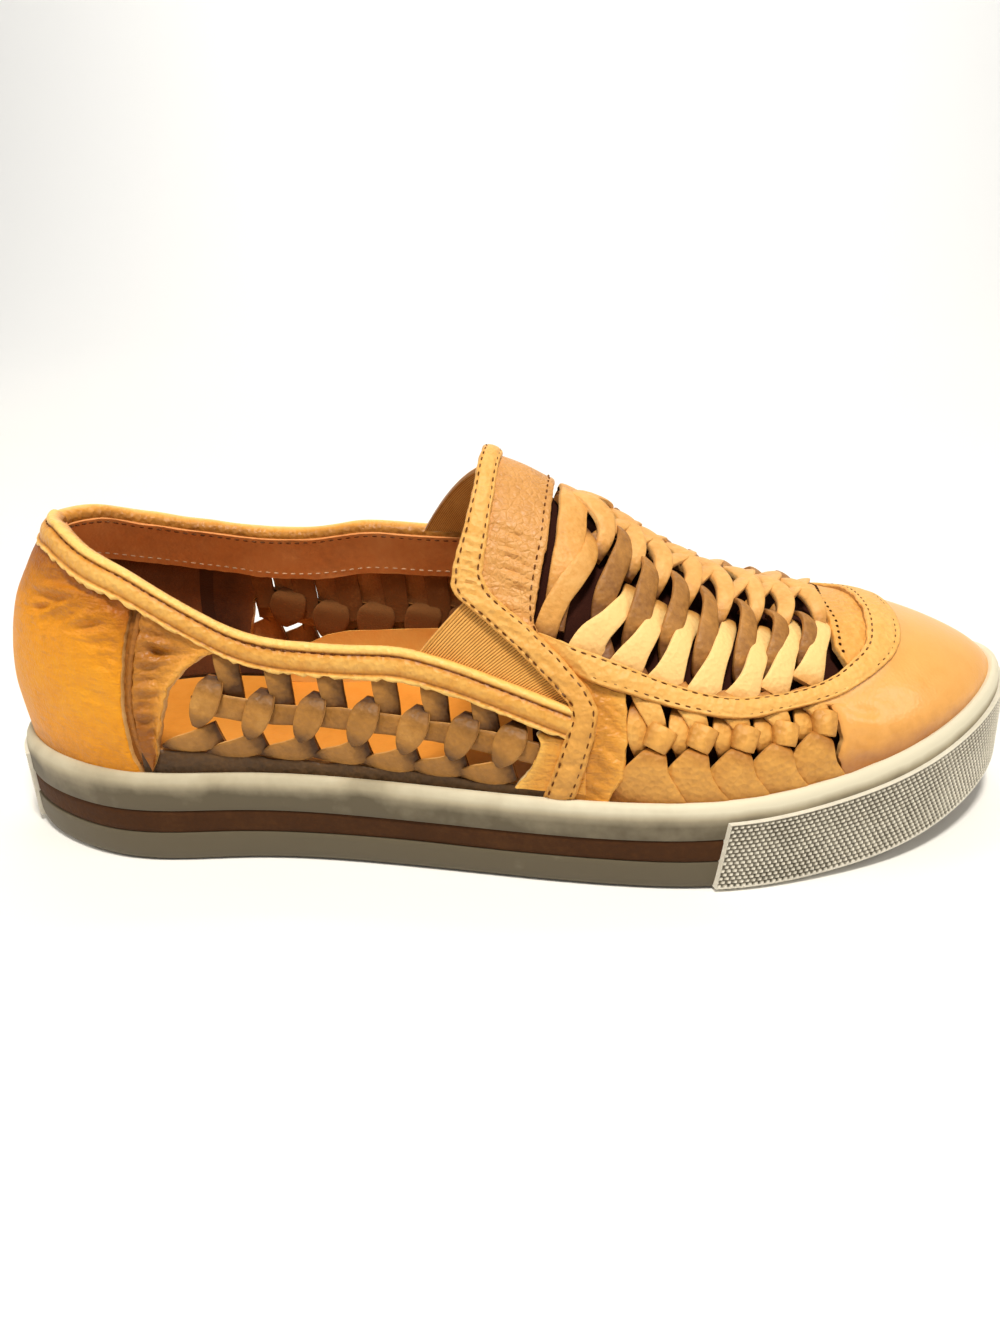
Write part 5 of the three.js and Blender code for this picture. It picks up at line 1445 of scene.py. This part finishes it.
def gore_part(inner):
    corner = THROAT_CORNERS[inner]
    free_at, top_across = GORE[inner]["freeAt"], GORE[inner]["topAcross"]

    def place(u, v):
        low_at = lerp(free_at, saddle_back(corner) + 0.004, u)
        low_across = fold(below_collar(low_at, inner, 3.0))
        high_across = lerp(top_across, corner - 0.004, u)
        at = lerp(low_at, saddle_back(high_across) + 0.008, v)
        return at, mirrored(lerp(low_across, high_across, v), inner)

    width = length_of(place, True)

    def rib(u):
        return np.abs(np.sin(np.pi * u * width / RIB_PITCH)) ** RIB_ROUND

    # The tone is painted shade between the ribs, paler on their crowns
    return sheet(
        place, (int(width / RIB_PITCH * RIB_SAMPLES), 26), -1.9, -0.6, rounded=(1, 0, 0, 0), seed=20,
        relief=lambda at, across, u, v: RIB_DEPTH * rib(u) + HEM_FOLD * hill(u * width, HEM_FOLD_WIDTH),
        tone=lambda at, across, u, v: 0.7 * rib(u) - 0.5,
    )


for inner, name in ((False, "gore_outer"), (True, "gore_inner")):
    make_piece(name + "_skin", [gore_part(inner)], [elastic] * 3, [name], crease_angle=80)

# The woven strips. Each table is one repeat: shares along and across from the middle of the
# repeat, then width, lift and roll in mm.
QUARTER_CELLS = table(
    "at across",
    (0.226, 0.104), (0.274, 0.088), (0.324, 0.085), (0.376, 0.083), (0.423, 0.079), (0.469, 0.078),
    (0.513, 0.076),
)
QUARTER_LOOP = table(
    "at across width lift roll",
    (0.0112, 0.0245, 3.4, -0.9, 0), (0.0100, 0.0185, 6.0, 1.6, 0.4), (0.0066, 0.0085, 7.4, 3.0, 0.6),
    (0.0012, -0.0050, 7.0, 3.1, 0.5), (-0.0044, -0.0170, 4.8, 2.8, 0.2), (-0.0082, -0.0255, 2.0, 2.0, 0),
)
QUARTER_FLAT = table(
    "at across width lift roll",
    (0.0225, 0.058, 6.0, 0.2, 0), (0.0240, 0.038, 6.0, 0.5, -0.8), (0.0262, 0.018, 5.8, -0.1, -0.7),
    (0.0275, -0.004, 5.0, -1.6, 0),
)
QUARTER_LEAF = table(
    "at across width lift roll",
    (-0.0500, -0.0442, 1.2, 0.1, 0.2), (-0.0400, -0.0418, 3.4, 0.7, 0.5), (-0.0280, -0.0398, 5.2, 1.3, 0.8),
    (-0.0150, -0.0375, 6.4, 1.7, 0.9), (-0.0030, -0.0335, 6.8, 1.4, 0.7), (0.0065, -0.0300, 6.4, 0.2, 0.2),
)
QUARTER_WEFT = table(
    "at across width lift roll",
    (0.214, 0.1, 4.6, -0.6, 0), (0.226, 0.1, 5.6, 0.5, 0), (0.274, 0.089, 5.6, 0.5, 0),
    (0.324, 0.085, 5.6, 0.5, 0), (0.376, 0.083, 5.6, 0.5, 0), (0.423, 0.08, 5.6, 0.5, 0),
    (0.469, 0.077, 5.6, 0.5, 0), (0.513, 0.072, 5.6, 0.5, 0), (0.552, 0.066, 5.6, 0.2, 0),
)
INNER_WEAVE_LIFT = 0.012
INNER_STRIPS = 1.35


def placed(knots, at, across, wider=1.0, stretch=None):
    """The knots of a repeat round its middle; stretch moves them across by where they are."""
    extra = stretch(knots["across"]) if stretch else 0
    places = [at + knots["at"], across + knots["across"] + extra]
    return np.stack(places + [knots["width"] * wider, knots["lift"], knots["roll"]], -1)


def cells_of(cells):
    return list(enumerate(zip(cells["at"], cells["across"])))


def inner_side(inner):
    """The axis of mirroring, how far the quarter's weave is moved up, and how much wider it is."""
    return (MIDDLE_AXIS, INNER_WEAVE_LIFT, INNER_STRIPS) if inner else (None, 0, 1.0)


def quarter_strips(inner):
    axis, raised, wider = inner_side(inner)
    made = [ribbon(placed(QUARTER_WEFT, 0, raised, wider), axis=axis, samples=120, seed=21)]
    for i, (at, across) in cells_of(QUARTER_CELLS):
        across = across + raised

        def reach_up(offset, at=at, across=across):
            # the flat strips end below the collar band, which is higher on the inner side
            top = fold(below_collar(at + 0.024, inner, 4.0)) - across
            return (top - 0.058) * np.clip((offset + 0.004) / 0.062, 0, 1)

        loop = placed(QUARTER_LOOP, at, across, wider)
        made.append(ribbon(loop, axis=axis, samples=26, seed=22 + i))
        if i < len(QUARTER_CELLS["at"]) - 1:
            # The flat strips and the leaves are a little darker than the loops: slight painted shade
            flat = placed(QUARTER_FLAT, at, across, wider, reach_up)
            made.append(ribbon(flat, axis=axis, samples=22, seed=32 + i, tone=-0.05))
        low = 0.006 if i == 0 else 0.0
        leaf = placed(QUARTER_LEAF, at + low, across - low, wider)
        made.append(ribbon(leaf, axis=axis, samples=26, seed=42 + i, tone=-0.05))
    return made


def inside_strips(inner):
    """The same lacing on the inner face of the wall, where the loops pass behind the weft."""
    axis, raised, _ = inner_side(inner)
    made = []
    for i, (at, across) in cells_of(QUARTER_CELLS)[:-1]:
        loop = placed(QUARTER_LOOP, at + 0.024, across + raised, 1.5)
        loop[:, 0] = at + 0.024 + QUARTER_LOOP["at"] * 0.8
        loop[:, 3] = -1.2 - 0.7 * QUARTER_LOOP["lift"]
        loop[:, 4] = 0
        made.append(ribbon(loop, 1.1, axis, samples=18, seed=52 + i, cup=-0.2))
        top = fold(below_collar(at, inner, 4.0))
        flat = [
            (at - 0.002, top, 7.6, -1.4, 0), (at, lerp(top, across, 0.5), 7.2, -1.5, 0),
            (at + 0.003, across + 0.012, 6.0, -1.9, 0),
        ]
        made.append(ribbon(flat, 1.0, axis, samples=18, seed=152 + i, cup=0))
    return made


FOREFOOT_CELLS = table(
    "at across",
    (0.6531, 0.1142), (0.6903, 0.1222), (0.7289, 0.1242), (0.7660, 0.1283), (0.8032, 0.1383),
)
FOREFOOT_UPPER = table(
    "at across width lift roll",
    (-0.0225, 0.080, 5.0, 0.0, 0), (-0.0190, 0.064, 5.2, 0.7, 0.3), (-0.0120, 0.044, 5.2, 1.4, 0.4),
    (-0.0065, 0.028, 4.8, 1.4, 0.2), (-0.0030, 0.013, 4.2, 0.4, 0), (0.000, 0.000, 3.6, -1.4, 0),
)
FOREFOOT_LEAF = table(
    "at across width lift roll",
    (-0.0190, 0.046, 3.4, -1.4, 0), (-0.0215, 0.030, 4.4, 0.1, -0.3), (-0.0220, 0.010, 5.0, 0.9, -0.5),
    (-0.0215, -0.010, 4.4, 0.5, -0.2), (-0.0205, -0.026, 3.0, -0.4, 0), (-0.0200, -0.036, 2.2, -1.6, 0),
)
FOREFOOT_LOOP = table(
    "at across width lift roll",
    (-0.0160, 0.0080, 5.0, -1.0, 0), (-0.0136, 0.0074, 5.6, 1.2, 0), (-0.0080, 0.0050, 6.0, 2.3, 0),
    (-0.0015, 0.0015, 6.0, 2.7, 0), (0.0045, -0.0025, 5.8, 2.3, 0), (0.0082, -0.0055, 5.4, 1.0, 0),
    (0.0098, -0.0072, 5.0, -1.2, 0),
)
FOREFOOT_PETAL = table(
    "at across width lift roll",
    (-0.0150, -0.118, 22.0, 0.6, -1.1), (-0.0150, -0.098, 18.6, 0.9, -1.0),
    (-0.0145, -0.078, 15.0, 1.3, -0.8), (-0.0135, -0.062, 12.4, 1.7, -0.6),
    (-0.0110, -0.044, 9.2, 2.2, -0.3), (-0.0080, -0.030, 7.0, 2.3, 0), (-0.0055, -0.019, 4.8, 1.2, 0),
    (-0.0045, -0.012, 3.0, -0.8, 0),
)
PETAL_FIT = 0.118


def forefoot_strips(inner):
    axis = MIDDLE_AXIS if inner else None
    made = []
    for i, (at, across) in cells_of(FOREFOOT_CELLS):
        foot = across - hem(at - 0.008)

        def fit(offset, foot=foot):
            return -(foot - PETAL_FIT) * np.clip(-offset / PETAL_FIT, 0, 1) ** 1.5

        petal = placed(FOREFOOT_PETAL, at, across, stretch=fit)
        made.append(ribbon(petal, axis=axis, samples=34, seed=62 + i, cup=0.5, tone=-0.1))
        made.append(ribbon(placed(FOREFOOT_LEAF, at, across), axis=axis, seed=72 + i, tone=0.05))
        made.append(ribbon(placed(FOREFOOT_UPPER, at, across), axis=axis, seed=82 + i, tone=0.1))
        made.append(ribbon(placed(FOREFOOT_LOOP, at, across), axis=axis, seed=92 + i, tone=0.1, cup=0.35))
    return made


# Strips of the vamp, given as shares over the shoe: knots of (at, across, width, lift, roll),
# or places alone, whose widths, lifts and rolls are the same for the whole row
VAMP_FIRST = [
    [
        (0.5765, 0.52, 7.6, 1.0, 0), (0.576, 0.479, 7.6, 1.8, 0.2), (0.5752, 0.42, 7.6, 1.9, 0.4),
        (0.5740, 0.3667, 7.6, 1.4, 0.4), (0.5688, 0.3026, 7.2, 0.9, 0.2), (0.5625, 0.255, 6.4, -0.4, 0),
        (0.558, 0.215, 5.4, -0.6, 0),
    ],
    [
        (0.549, 0.2, 5.6, 0.2, 0), (0.5545, 0.226, 5.6, 0.9, 0.3), (0.5731, 0.2846, 5.6, 1.7, 0.6),
        (0.5885, 0.3367, 5.2, 1.7, 0.6), (0.5925, 0.38, 4.4, 0.8, 0.4), (0.588, 0.415, 3.6, -0.9, 0),
    ],
]
VAMP_BASES = [
    [(0.5865, 0.195), (0.5917, 0.2204), (0.6045, 0.2485), (0.6174, 0.2806), (0.629, 0.318), (0.634, 0.35)],
    [(0.619, 0.19), (0.626, 0.2124), (0.6367, 0.2445), (0.6474, 0.2806), (0.656, 0.318), (0.661, 0.35)],
    [(0.654, 0.186), (0.6603, 0.2084), (0.6688, 0.2495), (0.6774, 0.2906), (0.687, 0.328), (0.6915, 0.36)],
    [(0.69, 0.184), (0.6955, 0.2104), (0.7053, 0.2565), (0.7153, 0.3066), (0.722, 0.34), (0.7265, 0.37)],
    [(0.726, 0.19), (0.7317, 0.2124), (0.7396, 0.2545), (0.7475, 0.2966), (0.756, 0.338), (0.7605, 0.37)],
    [(0.756, 0.206), (0.7618, 0.2305), (0.7725, 0.2885), (0.7832, 0.3467), (0.788, 0.38), (0.791, 0.405)],
    [(0.789, 0.226), (0.7946, 0.2525), (0.8039, 0.3086), (0.8132, 0.3647), (0.817, 0.395), (0.82, 0.42)],
]
VAMP_LEAVES = [
    [(0.6117, 0.487), (0.6203, 0.4389), (0.6174, 0.3687), (0.606, 0.3006), (0.6017, 0.2685), (0.608, 0.2)],
    [
        (0.636, 0.4448), (0.6446, 0.3868), (0.6403, 0.3287), (0.6331, 0.2745), (0.6288, 0.2505),
        (0.637, 0.196),
    ],
    [
        (0.666, 0.4469), (0.6731, 0.3948), (0.6703, 0.3267), (0.6631, 0.2786), (0.6617, 0.2605),
        (0.671, 0.195),
    ],
    [(0.6975, 0.446), (0.701, 0.3768), (0.6982, 0.3116), (0.6925, 0.2605), (0.691, 0.2375), (0.704, 0.19)],
    [
        (0.7317, 0.4389), (0.7375, 0.3747), (0.7346, 0.3146), (0.7303, 0.2766), (0.7289, 0.2485),
        (0.74, 0.193),
    ],
    [(0.7603, 0.4208), (0.7689, 0.3627), (0.7652, 0.3106), (0.7595, 0.2766), (0.7575, 0.258), (0.77, 0.2)],
    [(0.7932, 0.4269), (0.7971, 0.3707), (0.7961, 0.3226), (0.792, 0.294), (0.791, 0.275), (0.8, 0.222)],
]
VAMP_HOOKS = [
    [(0.566, 0.50), (0.5802, 0.4729), (0.5931, 0.4509), (0.6017, 0.4269), (0.6045, 0.3968), (0.6, 0.36)],
    [(0.594, 0.575), (0.6103, 0.525), (0.6240, 0.4689), (0.631, 0.4309), (0.633, 0.3968), (0.629, 0.36)],
    [(0.617, 0.565), (0.632, 0.515), (0.6507, 0.4589), (0.657, 0.4269), (0.6565, 0.3868), (0.652, 0.35)],
    [(0.647, 0.57), (0.6646, 0.52), (0.6817, 0.4710), (0.6874, 0.4349), (0.6845, 0.3888), (0.68, 0.355)],
    [(0.68, 0.57), (0.6970, 0.5170), (0.7117, 0.4589), (0.7178, 0.4158), (0.7165, 0.3787), (0.712, 0.345)],
    [(0.713, 0.57), (0.7303, 0.5251), (0.7432, 0.4790), (0.7495, 0.4329), (0.7503, 0.3988), (0.745, 0.36)],
    [(0.741, 0.56), (0.7575, 0.512), (0.7730, 0.4629), (0.7785, 0.4128), (0.7738, 0.3687), (0.77, 0.34)],
    [(0.768, 0.555), (0.7832, 0.515), (0.8, 0.47), (0.8085, 0.4299), (0.8125, 0.3988), (0.813, 0.365)],
]
VAMP_THICKNESS = 1.5
INNER_SETTLE = 0.35
Row = namedtuple("Row", "places widths lifts rolls least look")
# Row tones: the leaves darker, as painted shade, and the bases paler
VAMP_ROWS = [
    Row(VAMP_BASES, (10.5, 8.2, 5.9, 5.3, 4.7, 3.8), (0.0, 0.9, 2.1, 1.5, 0.0, -1.4),
        (0.7, 0.7, 0.5, 0.4, 0.2, 0.0), 0.8, {"samples": 28, "seed": 112, "tone": 0.6}),
    Row(VAMP_LEAVES, (3.4, 5.2, 5.9, 5.7, 4.8, 4.4), (-0.4, 3.2, 2.8, 1.6, 0.0, 0.0),
        (0.0, -0.9, -0.7, -0.3, 0.0, 0.0), 0.78, {"samples": 34, "seed": 122, "tone": -0.3, "cup": 0.35}),
    Row(VAMP_HOOKS, (3.4, 4.4, 4.9, 4.9, 4.4, 3.2), (-0.5, 3.2, 4.3, 4.0, 2.2, -1.0),
        (0.0, 0.4, 0.9, 0.8, 0.3, 0.0), 0.78, {"samples": 34, "seed": 132, "tone": 0.1, "cup": 0.35}),
]


def vamp_strips(inner):
    axis = APRON_AXIS if inner else None
    settle = INNER_SETTLE if inner else 0.0
    made = []
    for i, knots in enumerate(VAMP_FIRST):
        low = np.array(knots) - (0, 0, 0, settle, 0)
        made.append(ribbon(low, VAMP_THICKNESS, axis, samples=34, seed=102 + i, tone=0.05))
    for row in VAMP_ROWS:
        for i, places in enumerate(row.places):
            shrink = lerp(1.0, row.least, i / len(row.places))
            widths, lifts = np.array(row.widths) * shrink, np.array(row.lifts) - settle
            knots = np.column_stack([places, widths, lifts, row.rolls])
            made.append(ribbon(knots, VAMP_THICKNESS, axis, **row.look | {"seed": row.look["seed"] + i}))
    return made


LINING_RANGE = (0.535, 0.86)


def lining_place(u, v):
    at = lerp(*LINING_RANGE, u)
    return at, lerp(hem(at), 1 - hem(at), v)


# A dark sheet inside the forefoot: a lining, and painted shade seen through the weave
lining = sheet(lining_place, (60, 60), -4.3, -3.6, rounded=(0, 0, 0, 0), rough=(0.5, 12, 19), follow=1.0)
make_piece("forefoot_lining", [lining], [lining_cloth_and_painted_shade] * 3)
quarter_parts = both_sides(lambda inner: [quarter_panel_part(inner), tab_part(inner)])
make_piece("quarter_skin", quarter_parts, HEAVY_LEATHER, ["upper"])
make_piece("quarter_base_skin", both_sides(base_band_part), [base_leather_and_painted_shade, suede, cut_edge])
make_piece("vamp_side_skin", both_sides(vamp_side_part), HEAVY_LEATHER)
make_piece("counter_seam_welt", both_sides(seam_parts), [tan, suede, dark_edge])
make_piece("quarter_weave", both_sides(quarter_strips), [quarter_strip_painted_shade, inner_suede_painted_light, cut_edge])
make_piece("quarter_weave_inside", inside_strips(True), [inner_suede_painted_light] * 3)
make_piece("forefoot_weave", both_sides(forefoot_strips), LEATHER)
make_piece("vamp_weave", both_sides(vamp_strips), [tan_strip, suede, cut_edge])


# Floor, light and camera
def frame_point(x, y, z):
    return Vector((np.array([x, y, z]) + FRAME_SHIFT) * MILLIMETRE)


# The studio's floor in metres: its near edge, where it starts to rise, the radius of that bend,
# how high it rises, and its half width
FLOOR_NEAR = -2.5
FLOOR_RISE = 1.2
FLOOR_BEND = 1.0
FLOOR_TOP = 4.0
FLOOR_HALF = 4.0
BEND_STEPS = 24


def floor():
    mesh = bpy.data.meshes.new("studio_floor")
    turn = np.linspace(0, math.pi / 2, BEND_STEPS)
    bend = [(FLOOR_RISE + FLOOR_BEND * math.sin(a), FLOOR_BEND - FLOOR_BEND * math.cos(a)) for a in turn]
    run = [(FLOOR_NEAR, 0.0), *bend, (FLOOR_RISE + FLOOR_BEND, FLOOR_TOP)]
    points = [(x, y, z) for y, z in run for x in (-FLOOR_HALF, FLOOR_HALF)]
    mesh.from_pydata(points, [], [(i, i + 1, i + 3, i + 2) for i in range(0, len(points) - 2, 2)])
    mesh.shade_smooth()
    plane = bpy.data.objects.new("studio_floor", mesh)
    bpy.context.scene.collection.objects.link(plane)
    material = bpy.data.materials.new("studio_floor")
    material.use_nodes = True
    shader = material.node_tree.nodes["Principled BSDF"]
    shader.inputs["Base Color"].default_value = srgb("f4f3f0")
    shader.inputs["Roughness"].default_value = 0.9
    mesh.materials.append(material)


def lamp(name, place, target, size, watts, colour):
    light = bpy.data.lights.new(name, "AREA")
    light.shape = "DISK"
    light.size = size
    light.energy = watts
    light.color = colour
    lit = bpy.data.objects.new(name, light)
    lit.location = place
    lit.rotation_euler = (Vector(target) - Vector(place)).to_track_quat("-Z", "Y").to_euler()
    bpy.context.scene.collection.objects.link(lit)

floor()
SHOE_MIDDLE = (0, 0, 0.05)
lamp("key_light", (0.1, -0.32, 1.1), SHOE_MIDDLE, 0.22, 11.2, (1, 0.95, 0.86))
lamp("side_light", (1.0, -0.3, 0.7), SHOE_MIDDLE, 0.4, 2.2, (1, 0.95, 0.88))
lamp("heel_light", (-0.9, -0.25, 0.75), SHOE_MIDDLE, 0.3, 3.0, (1, 0.92, 0.8))
lamp("backdrop_light", (0.0, 0.9, 1.8), (0, 2.2, 1.0), 1.2, 30, (1, 1, 1))
world = bpy.data.worlds.new("studio")
world.use_nodes = True
world.node_tree.nodes["Background"].inputs["Color"].default_value = (1, 0.99, 0.97, 1)
world.node_tree.nodes["Background"].inputs["Strength"].default_value = 0.26
bpy.context.scene.world = world

CAMERA_PLACE = (160.37, -273.75, 155.77)
CAMERA_TURN = math.radians(4.32)
CAMERA_TILT = math.radians(22.98)
CAMERA_ROLL = math.radians(-2.51)
FOCAL_PIXELS = 1049.94
PICTURE_HEIGHT = 1330
SENSOR = 36


def studio_camera():
    level = math.cos(CAMERA_TILT)
    back = Vector((math.sin(CAMERA_TURN) * level, -math.cos(CAMERA_TURN) * level, math.sin(CAMERA_TILT)))
    right = Vector((math.cos(CAMERA_TURN), math.sin(CAMERA_TURN), 0))
    up = back.cross(right)
    turned_right = math.cos(CAMERA_ROLL) * right + math.sin(CAMERA_ROLL) * up
    turned_up = -math.sin(CAMERA_ROLL) * right + math.cos(CAMERA_ROLL) * up
    camera = bpy.data.cameras.new("camera")
    camera.sensor_width = SENSOR
    camera.lens = SENSOR * FOCAL_PIXELS / PICTURE_HEIGHT
    camera.clip_start = 0.01
    placed_camera = bpy.data.objects.new("camera", camera)
    matrix = Matrix((turned_right, turned_up, back)).transposed().to_4x4()
    matrix.translation = frame_point(*CAMERA_PLACE)
    placed_camera.matrix_world = matrix
    bpy.context.scene.collection.objects.link(placed_camera)
    bpy.context.scene.camera = placed_camera


studio_camera()
bpy.context.scene.view_settings.view_transform = "Standard"
